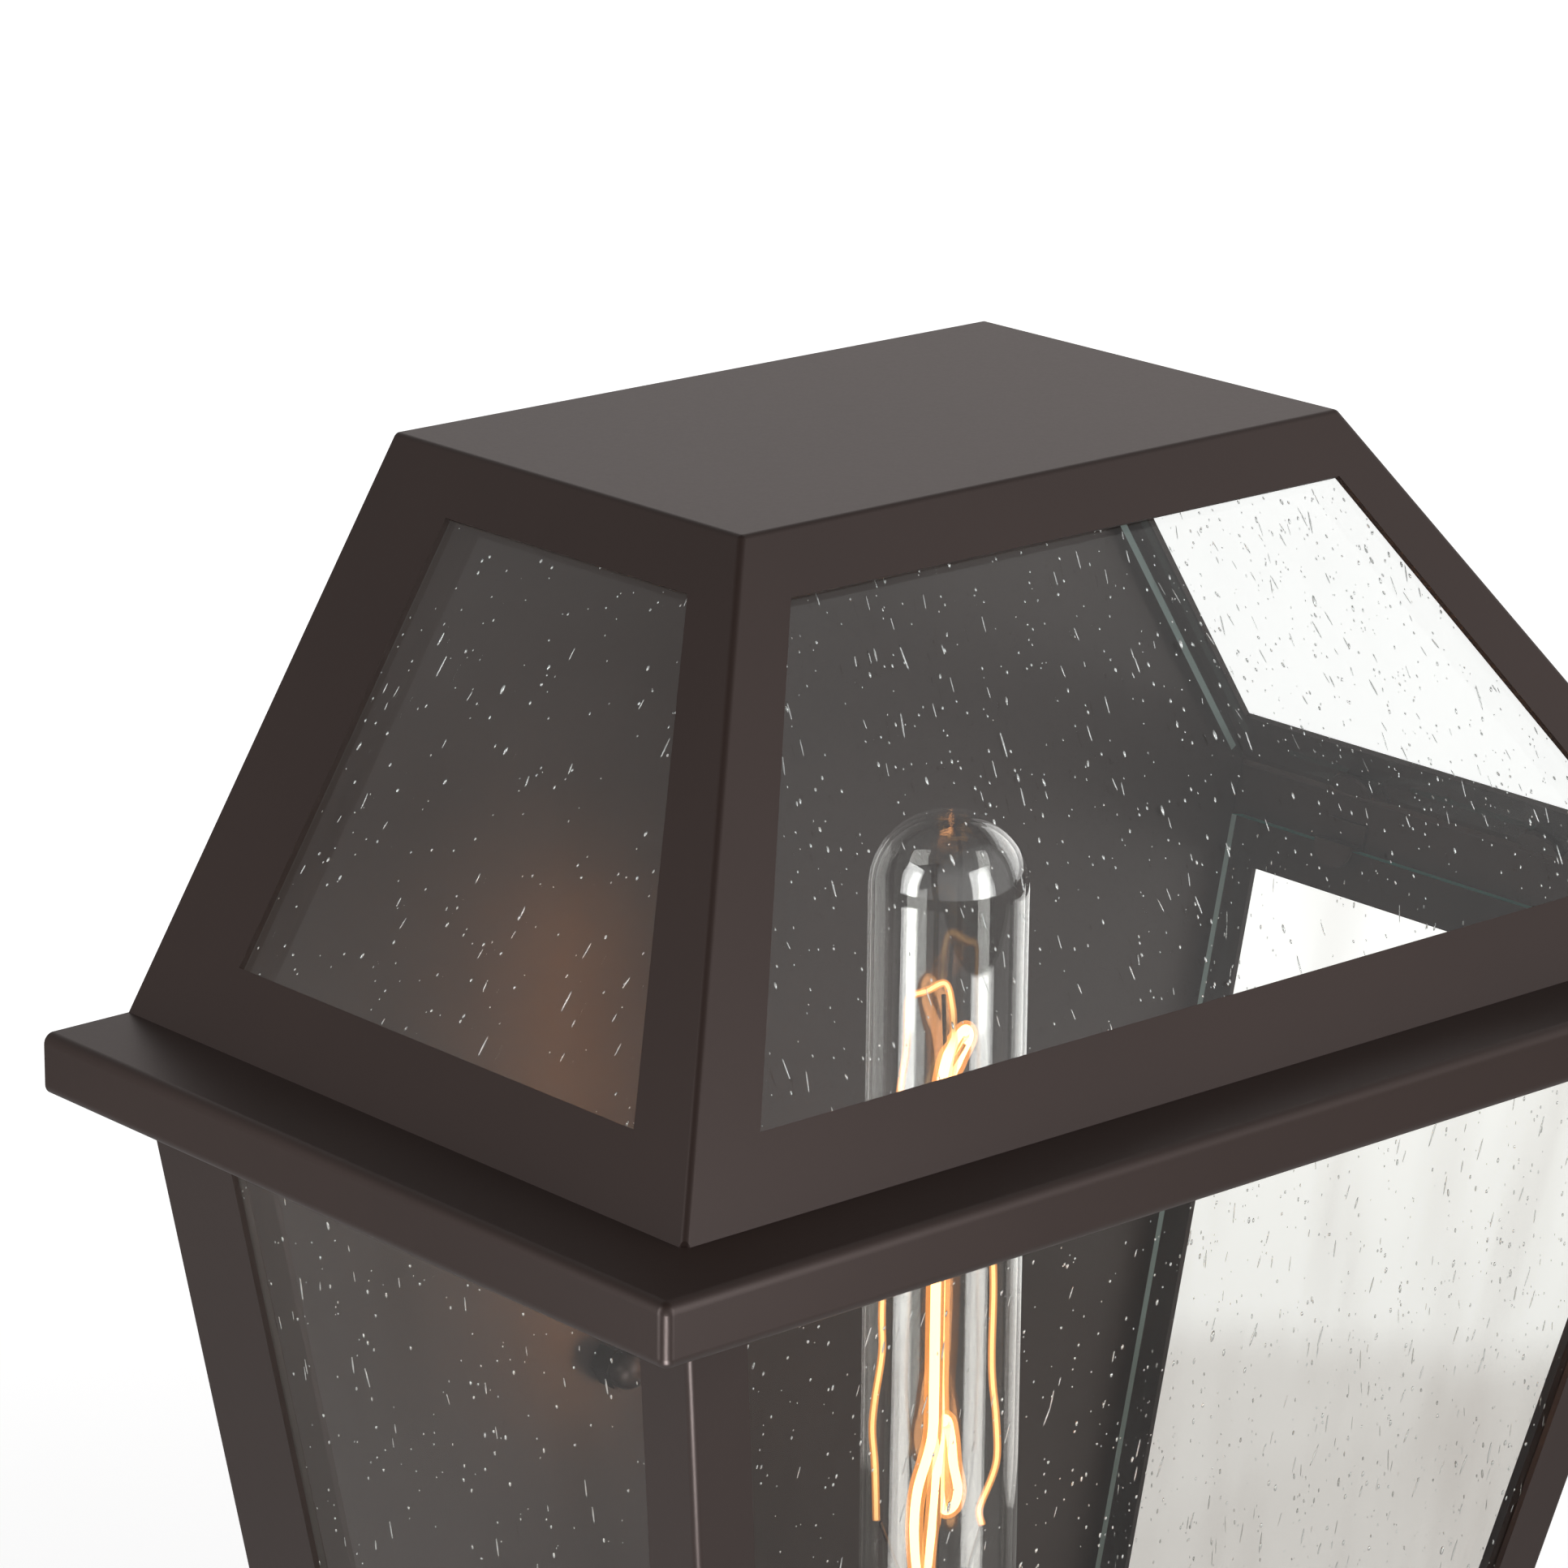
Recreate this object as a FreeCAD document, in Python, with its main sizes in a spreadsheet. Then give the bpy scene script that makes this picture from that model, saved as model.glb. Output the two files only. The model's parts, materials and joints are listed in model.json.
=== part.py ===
import FreeCAD, Part
import math
import os
import re
import Sketcher

# Outdoor half lantern for a wall, in millimetres. +Z is up, the wall is the plane y = 0, the front faces -Y,
# and the origin is the middle of the mounting bar on the wall.

# Driving dimensions
SIZES = {
    # roof, collar and lower body
    "roof_foot_width": 268.2,
    "roof_foot_depth": 153,
    "roof_top_width": 145.4,
    "roof_top_depth": 95.1,
    "roof_height": 96.9,
    "collar_side": 18.4,
    "collar_front": 17,
    "collar_height": 11.5,
    "body_height": 284,
    "base_width": 147,
    "base_depth": 99,
    "mount_drop": 88,
    "sheet_wall": 1.2,
    "fold_radius": 1.4,
    "collar_fold": 2,
    "weld_notch": 1.3,
    "seat_gap": 0.2,
    # windows and glass
    "roof_top_rail": 12.2,
    "roof_foot_rail": 14.8,
    "roof_stile_top": 12.5,
    "roof_stile_foot": 14.7,
    "body_top_rail": 21.4,
    "body_base_rail": 15,
    "post_width": 12.6,
    "back_stile": 22.6,
    "glass_wall": 3,
    "lap_post": 7,
    "lap_back": 5.2,
    "lap_foot": 8,
    "roof_lap_top": 5,
    "body_lap_top": 10,
    # clips that hold the glass
    "clip_width": 10,
    "clip_wall": 0.8,
    "clip_foot": 5.2,
    "clip_tongue": 4,
    "clip_round": 4.5,
    "roof_front_clip_top": 76,
    "roof_front_clip_foot": 130,
    "roof_side_clip_top": 28,
    "roof_side_clip_foot": 50,
    "body_front_clip_top": 140,
    "body_front_clip_foot": 66,
    "body_side_clip_top": 66,
    "body_side_clip_foot": 38,
    # back pan and wall fixing
    "pan_depth": 15,
    "pan_lip": 10,
    "gasket_wall": 3,
    "base_flange": 12,
    "base_back_strip": 16.5,
    "bar_length": 112,
    "bar_width": 25,
    "bar_wall": 2,
    "bar_corner": 5,
    "box_spacing": 88.9,
    "slot_width": 4.6,
    "slot_length": 12,
    "bar_eye": 10.4,
    "stud_web": 1.525,
    "stud_width": 4,
    "stud_reach": 21.5,
    "hole_clearance": 0.3,
    "nut_across": 8,
    "nut_hex_height": 4.5,
    "nut_height": 9,
    "nut_dome": 3.4,
    "earth_across": 7,
    "earth_head": 3,
    "earth_width": 3.5,
    "earth_offset": 20,
    # lamp
    "lamp_axis": 70.3,
    "lamp_rise": 27.9,
    "lamp_length": 225,
    "lamp_width": 30,
    "lamp_wall": 0.8,
    "neck_width": 24.6,
    "neck_start": 14,
    "neck_end": 28,
    "shoulder_end": 38,
    "neck_round": 6,
    "cap_width": 26,
    "cap_wall": 0.4,
    "cap_start": 6.6,
    "cap_end": 26.5,
    "cap_bevel": 1.4,
    "tip_width": 9.6,
    "tip_height": 1.8,
    "insulator_width": 23,
    "insulator_end": 7.5,
    "stem_rod_width": 5,
    "stem_flare_end": 38,
    "stem_end": 58,
    "filament_width": 0.6,
    "filament_turn": -43,
    "filament_side": 11,
    "filament_sway": 3.6,
    "filament_depth": 2.5,
    "filament_hook": 191,
    "filament_hairpin": 182,
    "filament_middle": 128,
    "filament_foot": 85,
    "filament_low": 70,
    "support_width": 0.8,
    # lamp holder, its bracket and leads
    "holder_width": 39,
    "holder_foot_width": 34,
    "holder_height": 42,
    "holder_floor": 9,
    "holder_step": 13,
    "holder_round": 2,
    "shell_wall": 0.5,
    "shell_clearance": 0.4,
    "shell_inset": 3,
    "shell_flange": 4.5,
    "contact_width": 9,
    "contact_height": 1.4,
    "contact_clearance": 0.3,
    "bracket_width": 26,
    "bracket_wall": 2,
    "bracket_rise": 30,
    "bracket_overhang": 15,
    "bracket_bend": 3,
    "rivet_spacing": 14,
    "rivet_level": 18,
    "rivet_width": 4,
    "rivet_head": 7.5,
    "rivet_head_height": 1.6,
    "rivet_tail": 6,
    "nipple_width": 9.8,
    "nipple_bore": 7,
    "nipple_drop": 12,
    "nipple_grip": 5,
    "nipple_nut_across": 14,
    "nipple_nut_height": 4,
    "lead_width": 2.6,
    "lead_spacing": 3.2,
    "lead_bend": 12,
    "lead_end_drop": 22,
    "grommet_drop": 30,
    "grommet_bore": 8,
    "grommet_neck": 11,
    "grommet_width": 15,
    "grommet_lip": 1.6,
}

# Sizes that follow from the driving dimensions
DERIVED = {
    "roof_side_run": "(roof_foot_width - roof_top_width) / 2",
    "roof_front_run": "roof_foot_depth - roof_top_depth",
    "roof_side_tilt": "atan(roof_side_run / roof_height)",
    "roof_front_tilt": "atan(roof_front_run / roof_height)",
    "roof_side_slant": "roof_height / cos(roof_side_tilt)",
    "roof_front_slant": "roof_height / cos(roof_front_tilt)",
    "body_side_run": "(roof_foot_width - base_width) / 2",
    "body_front_run": "roof_foot_depth - base_depth",
    "body_side_tilt": "atan(body_side_run / body_height)",
    "body_front_tilt": "atan(body_front_run / body_height)",
    "body_side_slant": "body_height / cos(body_side_tilt)",
    "body_front_slant": "body_height / cos(body_front_tilt)",
    "collar_width": "roof_foot_width + 2 * collar_side",
    "collar_depth": "roof_foot_depth + collar_front",
    "roof_top_level": "mount_drop + roof_height",
    "base_level": "mount_drop - body_height",
    "cage_top_level": "mount_drop - sheet_wall",
    "cage_top_half": "roof_foot_width / 2 - sheet_wall * body_side_run / body_height",
    "cage_top_depth": "roof_foot_depth - sheet_wall * body_front_run / body_height",
    "stud_spacing": "box_spacing - slot_length - stud_width - 2 * stud_web",
    "lamp_foot": "mount_drop + lamp_rise - lamp_length",
    "holder_level": "lamp_foot - contact_clearance - contact_height - holder_floor",
    "shell_bore": "cap_width / 2 + shell_clearance",
    "shell_rise": "holder_height - holder_floor - shell_inset",
    "grommet_level": "holder_level - grommet_drop",
}

doc = FreeCAD.newDocument("wall_light")
sheet = doc.addObject("Spreadsheet::Sheet", "sizes")
for row, (alias, size) in enumerate(SIZES.items(), 1):
    sheet.set(f"A{row}", str(size))
    sheet.setAlias(f"A{row}", alias)
for row, (alias, text) in enumerate(DERIVED.items(), 1):
    sheet.set(f"B{row}", "=" + text)
    sheet.setAlias(f"B{row}", alias)
doc.recompute()
NODES = []


# Words of a formula that name a size are looked up in the sheet.
def formula(text):
    def look_up(word):
        return "sizes." + word[0] if sheet.getCellFromAlias(word[0]) else word[0]

    return re.sub(r"[a-z_]+", look_up, text)


def number(text):
    result = sheet.evalExpression(text)
    return getattr(result, "Value", result)


def bind(thing, prop, text):
    thing.setExpression(prop, formula(text))


def new_body(label):
    body = doc.addObject("PartDesign::Body", label)
    body.Label = label
    body.AllowCompound = True
    return body


def node(thing):
    NODES.append(thing)
    return thing


# Sketches: on one of the body's own planes, moved by a formula along that plane's axes or laid into a face frame
def new_sketch(body, name, role="XY_Plane", shift=("0", "0", "0"), frame=None):
    sketch = body.newObject("Sketcher::SketchObject", name)
    sketch.AttachmentSupport = (next(f for f in body.Origin.OriginFeatures if f.Role == role), "")
    sketch.MapMode = "FlatFace"
    if frame:
        bind(sketch, "AttachmentOffset", frame)
    for axis, text in zip("xyz", shift):
        if text != "0":
            bind(sketch, f"AttachmentOffset.Base.{axis}", text)
    doc.recompute()
    return sketch


def pin(sketch, edge, end, x, y):
    for kind, text in (("DistanceX", x), ("DistanceY", y)):
        index = sketch.addConstraint(Sketcher.Constraint(kind, -1, 1, edge, end, number(text)))
        bind(sketch, f"Constraints[{index}]", text)


def polygon(sketch, corners):
    first = sketch.GeometryCount
    count = len(corners)
    points = [FreeCAD.Vector(number(x), number(y), 0) for x, y in corners]
    for i in range(count):
        sketch.addGeometry(Part.LineSegment(points[i], points[(i + 1) % count]), False)
    for i, (x, y) in enumerate(corners):
        sketch.addConstraint(Sketcher.Constraint("Coincident", first + i, 2, first + (i + 1) % count, 1))
        pin(sketch, first + i, 1, x, y)


def circle(sketch, x, y, width):
    centre = FreeCAD.Vector(number(x), number(y), 0)
    edge = sketch.addGeometry(Part.Circle(centre, FreeCAD.Vector(0, 0, 1), number(width) / 2), False)
    pin(sketch, edge, 3, x, y)
    index = sketch.addConstraint(Sketcher.Constraint("Diameter", edge, number(width)))
    bind(sketch, f"Constraints[{index}]", width)


def hexagon(sketch, across):
    reach = f"{across} / 2 / cos(30)"
    polygon(sketch, [(f"{reach} * cos({turn})", f"{reach} * sin({turn})") for turn in range(0, 360, 60)])


def slot(sketch, x, y, length, width):
    radius = number(width) / 2
    reach = f"({length} - {width}) / 2"
    ends = []
    for sign, start in (("+", -math.pi / 2), ("-", math.pi / 2)):
        centre_x = f"{x} {sign} {reach}"
        centre = FreeCAD.Vector(number(centre_x), number(y), 0)
        round_end = Part.ArcOfCircle(Part.Circle(centre, FreeCAD.Vector(0, 0, 1), radius), start, start + math.pi)
        edge = sketch.addGeometry(round_end, False)
        pin(sketch, edge, 3, centre_x, y)
        ends.append(edge)
    for edge, other in (ends, ends[::-1]):
        start = sketch.getPoint(edge, 2)
        side = sketch.addGeometry(Part.LineSegment(start, sketch.getPoint(other, 1)), False)
        sketch.addConstraint(Sketcher.Constraint("Tangent", edge, 2, side, 1))
        sketch.addConstraint(Sketcher.Constraint("Tangent", side, 2, other, 1))
    index = sketch.addConstraint(Sketcher.Constraint("Radius", ends[0], radius))
    bind(sketch, f"Constraints[{index}]", f"{width} / 2")


# Features: each one is recomputed at once, and a cut that removes nothing stops the build.
def pad(body, sketch, length, reverse=False, midplane=False):
    feature = body.newObject("PartDesign::Pad", sketch.Name + "_pad")
    feature.Profile = sketch
    feature.Reversed = reverse
    feature.Midplane = midplane
    bind(feature, "Length", length)
    doc.recompute()
    return feature


def pocket(body, sketch, length=None, reverse=False):
    before = body.Tip.Shape.Volume
    feature = body.newObject("PartDesign::Pocket", sketch.Name + "_cut")
    feature.Profile = sketch
    feature.Reversed = reverse
    if length:
        bind(feature, "Length", length)
    else:
        feature.Type = "ThroughAll"
        feature.Midplane = True
    doc.recompute()
    if feature.Shape.Volume > before - 1e-6:
        raise RuntimeError(f"{feature.Name} cuts nothing")
    return feature


def mirrored(body, feature):
    copy = body.newObject("PartDesign::Mirrored", feature.Name + "_mirrored")
    copy.Originals = [feature]
    copy.MirrorPlane = (next(f for f in body.Origin.OriginFeatures if f.Role == "YZ_Plane"), [""])
    body.Tip = copy
    doc.recompute()
    return copy


def thin_wall(body, wall, is_open):
    base = body.Tip
    feature = body.newObject("PartDesign::Thickness", body.Name + "_wall")
    feature.Base = (base, [f"Face{i}" for i, face in enumerate(base.Shape.Faces, 1) if is_open(face.BoundBox)])
    feature.Reversed = True
    bind(feature, "Value", wall)
    doc.recompute()
    return feature


def fillet(body, radius, is_edge, name="folds"):
    base = body.Tip
    feature = body.newObject("PartDesign::Fillet", f"{body.Name}_{name}")
    feature.Base = (base, [f"Edge{i}" for i, edge in enumerate(base.Shape.Edges, 1) if is_edge(edge)])
    bind(feature, "Radius", radius)
    doc.recompute()
    return feature


# A turned piece: its profile is radius and height, around the lamp's upright axis.
def lathe(label, corners):
    body = new_body(label)
    sketch = new_sketch(body, label + "_profile", "YZ_Plane", ("-lamp_axis", "0", "0"))
    polygon(sketch, corners)
    turn = body.newObject("PartDesign::Revolution", label + "_turn")
    turn.Profile = sketch
    turn.ReferenceAxis = (sketch, ["V_Axis"])
    doc.recompute()
    return body


# A group of like pieces: linked copies of one pattern piece, each moved and turned in the group's own frame
def copies(label, pattern, spots, frame=None):
    links = []
    for x, y, turn in spots:
        link = doc.addObject("App::Link", f"{label}_{len(links) + 1}")
        link.LinkedObject = pattern
        bind(link, "Placement", f"placement(vector({x}; {y}; 0); rotation(vector(0; 0; 1); {turn}))")
        links.append(link)
    group = doc.addObject("Part::Compound", label)
    group.Label = label
    group.Links = links
    if frame:
        bind(group, "Placement", frame)
    doc.recompute()
    return group


def other_side(label, source):
    mirror = doc.addObject("Part::Mirroring", label)
    mirror.Label = label
    mirror.Source = source
    mirror.Normal = (1, 0, 0)
    doc.recompute()
    return mirror


# A round wire along lines and arcs
def wire(edges, width):
    path = Part.Wire(edges)
    start = path.Edges[0]
    along = start.tangentAt(start.FirstParameter)
    ring = Part.Wire(Part.makeCircle(width / 2, start.valueAt(start.FirstParameter), along))
    return path.makePipeShell([ring], True, False, 2)


def near(a, b):
    return abs(a - b) < 1e-4


def at_wall(box):
    return near(box.YMin, 0)


def at_level(box, level):
    return near(box.ZMin, number(level)) and near(box.ZMax, number(level))


# Faces of the lantern: each has a frame with its zero at the collar's top, x along the face, y up the slope and
# z outwards. The sides are made on the right and mirrored; there x is the lantern's own y.
class Face:
    def __init__(self, name, part, side):
        across, along = ("front", "side") if side else ("side", "front")
        self.name = name
        self.part = part
        self.side = side
        self.half = "roof_foot_depth" if side else "roof_foot_width / 2"
        self.slant = f"{part}_{along}_slant"
        lean = f"{part}_{across}_run / {self.slant}"
        tilt = f"{part}_{along}_tilt"
        if part == "roof":
            self.lean = lean
            self.low = "roof_foot_rail"
            self.high = f"({self.slant} - roof_top_rail)"
            turn = f"rotation(vector(1; 0; 0); 90 deg - {tilt})"
        else:
            self.lean = f"(-{lean})"
            self.low = f"(body_base_rail - {self.slant})"
            self.high = "(-body_top_rail)"
            turn = f"rotation(vector(1; 0; 0); 90 deg + {tilt})"
        self.stile_low = "roof_stile_foot" if part == "roof" else "post_width"
        self.stile_high = "roof_stile_top" if part == "roof" else "post_width"
        self.lap_high = f"{part}_lap_top"
        if side:
            turn = f"rotation(vector(0; 0; 1); 90) * {turn}"
            self.frame = f"placement(vector(roof_foot_width / 2; 0; mount_drop); {turn})"
        else:
            self.frame = f"placement(vector(0; -roof_foot_depth; mount_drop); {turn})"

    # Distance of the window's slanting edge from the face's middle, or from the wall on a side face
    def reach(self, level, stile, lap="0", shift="0"):
        return f"({self.half} - {level} * {self.lean} - {stile} + {lap} - ({shift}) * {self.lean})"

    def corners(self, low, high, reach_low, reach_high, back):
        if self.side:
            return [(f"-{reach_low}", low), (f"-({back})", low), (f"-({back})", high), (f"-{reach_high}", high)]
        return [(f"-{reach_low}", low), (reach_low, low), (reach_high, high), (f"-{reach_high}", high)]

    def window(self):
        reach_low = self.reach(self.low, self.stile_low)
        reach_high = self.reach(self.high, self.stile_high)
        return self.corners(self.low, self.high, reach_low, reach_high, "back_stile")

    def pane_low(self):
        return f"({self.low} - lap_foot)"

    def pane_high(self):
        return f"({self.high} + {self.lap_high})"

    def pane(self):
        reach_low = self.reach(self.low, self.stile_low, "lap_post", "-lap_foot")
        reach_high = self.reach(self.high, self.stile_high, "lap_post", self.lap_high)
        return self.corners(self.pane_low(), self.pane_high(), reach_low, reach_high, "back_stile - lap_back")

    # Middle of the pane along a level edge
    def middle(self, level, stile):
        return f"(-({self.reach(level, stile)} + back_stile) / 2)" if self.side else "0"


ROOF_FRONT = Face("roof_front", "roof", False)
ROOF_SIDE = Face("roof_side", "roof", True)
BODY_FRONT = Face("body_front", "body", False)
BODY_SIDE = Face("body_side", "body", True)


def cut_window(body, face):
    sketch = new_sketch(body, face.name + "_window", frame=face.frame)
    polygon(sketch, face.window())
    opening = pocket(body, sketch, "3 * sheet_wall")
    return mirrored(body, opening) if face.side else opening


# Sloping sheet shell: a trapezium seen from the front, with the front face cut to its slope
def sloping_block(label, low_half, low_level, high_half, high_level, low_depth, high_depth):
    body = new_body(label)
    outline = new_sketch(body, label + "_outline", "XZ_Plane")
    polygon(outline, [(f"-{low_half}", low_level), (low_half, low_level),
                      (high_half, high_level), (f"-{high_half}", high_level)])
    deepest = low_depth if number(low_depth) > number(high_depth) else high_depth
    pad(body, outline, deepest)
    slope = new_sketch(body, label + "_slope", "YZ_Plane")
    apex_level = high_level if deepest == low_depth else low_level
    polygon(slope, [(f"-{low_depth}", low_level), (f"-{high_depth}", high_level), (f"-{deepest}", apex_level)])
    pocket(body, slope)
    return body


def on_outer_front(edge, levels, halves, depths):
    for vertex in edge.Vertexes:
        place = vertex.Point
        corner = any(near(place.z, number(level)) and near(abs(place.x), number(half)) and
                     (near(place.y, -number(depth)) or near(place.y, 0))
                     for level, half, depth in zip(levels, halves, depths))
        if not corner:
            return False
    return True


# An outer fold runs between two outer corners; an edge along the wall or along an open rim is no fold.
def is_fold(edge, levels, halves, depths, open_level):
    box = edge.BoundBox
    if at_wall(box) or at_level(box, open_level):
        return False
    return on_outer_front(edge, levels, halves, depths)


def make_roof():
    body = sloping_block("roof_shell", "roof_foot_width / 2", "mount_drop", "roof_top_width / 2", "roof_top_level",
                         "roof_foot_depth", "roof_top_depth")
    thin_wall(body, "sheet_wall", lambda box: at_wall(box) or at_level(box, "mount_drop"))
    cut_window(body, ROOF_FRONT)
    cut_window(body, ROOF_SIDE)
    fillet(body, "fold_radius", lambda edge: is_fold(
        edge, ("mount_drop", "roof_top_level"), ("roof_foot_width / 2", "roof_top_width / 2"),
        ("roof_foot_depth", "roof_top_depth"), "mount_drop"))
    notch = new_sketch(body, "weld_notches", shift=("0", "0", "mount_drop"))
    for sign in ("-", ""):
        circle(notch, f"{sign}roof_foot_width / 2", "-roof_foot_depth", "2 * weld_notch")
    pocket(body, notch, "weld_notch", reverse=True)
    return node(body)


def make_cage():
    body = sloping_block("cage_frame", "base_width / 2", "base_level", "cage_top_half", "cage_top_level",
                         "base_depth", "cage_top_depth")
    thin_wall(body, "sheet_wall", lambda box: at_wall(box) or at_level(box, "cage_top_level"))
    cut_window(body, BODY_FRONT)
    cut_window(body, BODY_SIDE)
    mouth = new_sketch(body, "base_mouth", shift=("0", "0", "base_level"))
    half = "(base_width / 2 - base_flange)"
    front = "-(base_depth - base_flange)"
    polygon(mouth, [(f"-{half}", front), (half, front), (half, "-base_back_strip"), (f"-{half}", "-base_back_strip")])
    pocket(body, mouth, "2 * sheet_wall", reverse=True)
    fillet(body, "fold_radius", lambda edge: is_fold(
        edge, ("base_level", "cage_top_level"), ("base_width / 2", "cage_top_half"),
        ("base_depth", "cage_top_depth"), "cage_top_level"))
    return node(body)


# Channel band: a hollow slab with an opening in its top that ends flush with the roof's inside, and one in its
# underside that fits around the lower body
def make_collar():
    body = new_body("collar")
    slab = new_sketch(body, "collar_outline", shift=("0", "0", "mount_drop - collar_height"))
    polygon(slab, [("-collar_width / 2", "-collar_depth"), ("collar_width / 2", "-collar_depth"),
                   ("collar_width / 2", "0"), ("-collar_width / 2", "0")])
    pad(body, slab, "collar_height")
    thin_wall(body, "sheet_wall", at_wall)
    top_half = "(roof_foot_width / 2 - sheet_wall / cos(roof_side_tilt))"
    top_depth = "(roof_foot_depth - sheet_wall / cos(roof_front_tilt))"
    drop = "(collar_height - sheet_wall)"
    low_half = f"(roof_foot_width / 2 - {drop} * body_side_run / body_height + seat_gap)"
    low_depth = f"(roof_foot_depth - {drop} * body_front_run / body_height + seat_gap)"
    openings = (("top", top_half, top_depth, "mount_drop", False),
                ("low", low_half, low_depth, "mount_drop - collar_height", True))
    for name, half, depth, level, upwards in openings:
        opening = new_sketch(body, f"collar_{name}_opening", shift=("0", "0", level))
        polygon(opening, [(f"-{half}", f"-{depth}"), (half, f"-{depth}"), (half, "0"), (f"-{half}", "0")])
        pocket(body, opening, "2 * sheet_wall", reverse=upwards)
    fillet(body, "collar_fold", lambda edge: not at_wall(edge.BoundBox) and on_outer_front(
        edge, ("mount_drop", "mount_drop - collar_height"), ("collar_width / 2",) * 2, ("collar_depth",) * 2))
    return node(body)


# Glass pane behind its window, and the clips along its upper and lower edge
def make_pane(face, label):
    body = new_body(label)
    sketch = new_sketch(body, label + "_outline", shift=("0", "0", "-(sheet_wall + seat_gap)"))
    polygon(sketch, face.pane())
    pad(body, sketch, "glass_wall", reverse=True)
    bind(body, "Placement", face.frame)
    doc.recompute()
    return node(body)


def make_clip_pattern():
    body = new_body("glass_clip")
    profile = new_sketch(body, "clip_profile", "YZ_Plane")
    depth = "(sheet_wall + glass_wall + 2 * seat_gap)"
    polygon(profile, [("clip_foot", "-sheet_wall"), ("seat_gap", "-sheet_wall"), ("seat_gap", f"-{depth}"),
                      ("-clip_tongue", f"-{depth}"), ("-clip_tongue", f"-({depth} + clip_wall)"),
                      ("seat_gap + clip_wall", f"-({depth} + clip_wall)"),
                      ("seat_gap + clip_wall", "-(sheet_wall + clip_wall)"),
                      ("clip_foot", "-(sheet_wall + clip_wall)")])
    pad(body, profile, "clip_width", midplane=True)
    tongue_end = -number("clip_tongue")
    fillet(body, "clip_round", lambda edge: near(edge.BoundBox.XLength, 0) and near(edge.BoundBox.YLength, 0) and
           near(edge.BoundBox.YMin, tongue_end), "round_end")
    return body


def make_clips(face, label, pattern):
    high = face.pane_high()
    low = face.pane_low()
    centre_high = face.middle(face.high, face.stile_high)
    centre_low = face.middle(face.low, face.stile_low)
    spots = []
    for sign in ("-", "+"):
        spots.append((f"{centre_high} {sign} {face.name}_clip_top / 2", high, "0"))
        spots.append((f"{centre_low} {sign} {face.name}_clip_foot / 2", low, "180"))
    return node(copies(label, pattern, spots, face.frame))


def make_glazing():
    pattern = make_clip_pattern()
    for face, part in ((ROOF_FRONT, "roof"), (BODY_FRONT, "body")):
        make_pane(face, f"{part}_pane_front")
        make_clips(face, f"{part}_clips_front", pattern)
    for face, part in ((ROOF_SIDE, "roof"), (BODY_SIDE, "body")):
        pane = make_pane(face, f"{part}_pane_right")
        clips = make_clips(face, f"{part}_clips_right", pattern)
        node(other_side(f"{part}_pane_left", pane))
        node(other_side(f"{part}_clips_left", clips))


# Outline of the back pan, drawn in from the shells by a given distance
def pan_outline(sketch, inset):
    roof_cut = f"(sheet_wall + {inset}) / cos(roof_side_tilt) + seat_gap"
    body_cut = f"(sheet_wall + {inset}) / cos(body_side_tilt) + seat_gap"
    high_drop = f"(sheet_wall + seat_gap + {inset})"
    high_half = f"(roof_top_width / 2 + {high_drop} * roof_side_run / roof_height - ({roof_cut}))"
    foot_half = f"(roof_foot_width / 2 - ({roof_cut}))"
    low_half = f"(base_width / 2 + {high_drop} * body_side_run / body_height - ({body_cut}))"
    high = f"roof_top_level - {high_drop}"
    low = f"base_level + {high_drop}"
    polygon(sketch, [(f"-{low_half}", low), (low_half, low), (foot_half, "mount_drop"), (high_half, high),
                     (f"-{high_half}", high), (f"-{foot_half}", "mount_drop")])


def make_pan():
    body = new_body("back_pan")
    outline = new_sketch(body, "pan_outline", "XZ_Plane", ("0", "0", "gasket_wall"))
    pan_outline(outline, "0")
    pad(body, outline, "pan_depth - gasket_wall")
    hollow = new_sketch(body, "pan_hollow", "XZ_Plane", ("0", "0", "gasket_wall + sheet_wall"))
    pan_outline(hollow, "sheet_wall")
    pocket(body, hollow, "pan_depth - gasket_wall - 2 * sheet_wall", reverse=True)
    mouth = new_sketch(body, "pan_mouth", "XZ_Plane", ("0", "0", "gasket_wall"))
    pan_outline(mouth, "pan_lip")
    pocket(body, mouth, "2 * sheet_wall", reverse=True)
    holes = new_sketch(body, "pan_holes", "XZ_Plane", ("0", "0", "pan_depth"))
    for sign in ("-", ""):
        circle(holes, f"{sign}stud_spacing / 2", "0", "stud_width + 2 * hole_clearance")
        circle(holes, f"{sign}rivet_spacing / 2", "holder_level + rivet_level", "rivet_width + 2 * seat_gap")
    circle(holes, "0", "grommet_level", "grommet_neck + 2 * seat_gap")
    pocket(body, holes, "2 * sheet_wall")
    return node(body)


def make_gasket():
    body = new_body("wall_gasket")
    ring = new_sketch(body, "gasket_ring", "XZ_Plane")
    pan_outline(ring, "0")
    pan_outline(ring, "pan_lip")
    pad(body, ring, "gasket_wall")
    return node(body)


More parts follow.
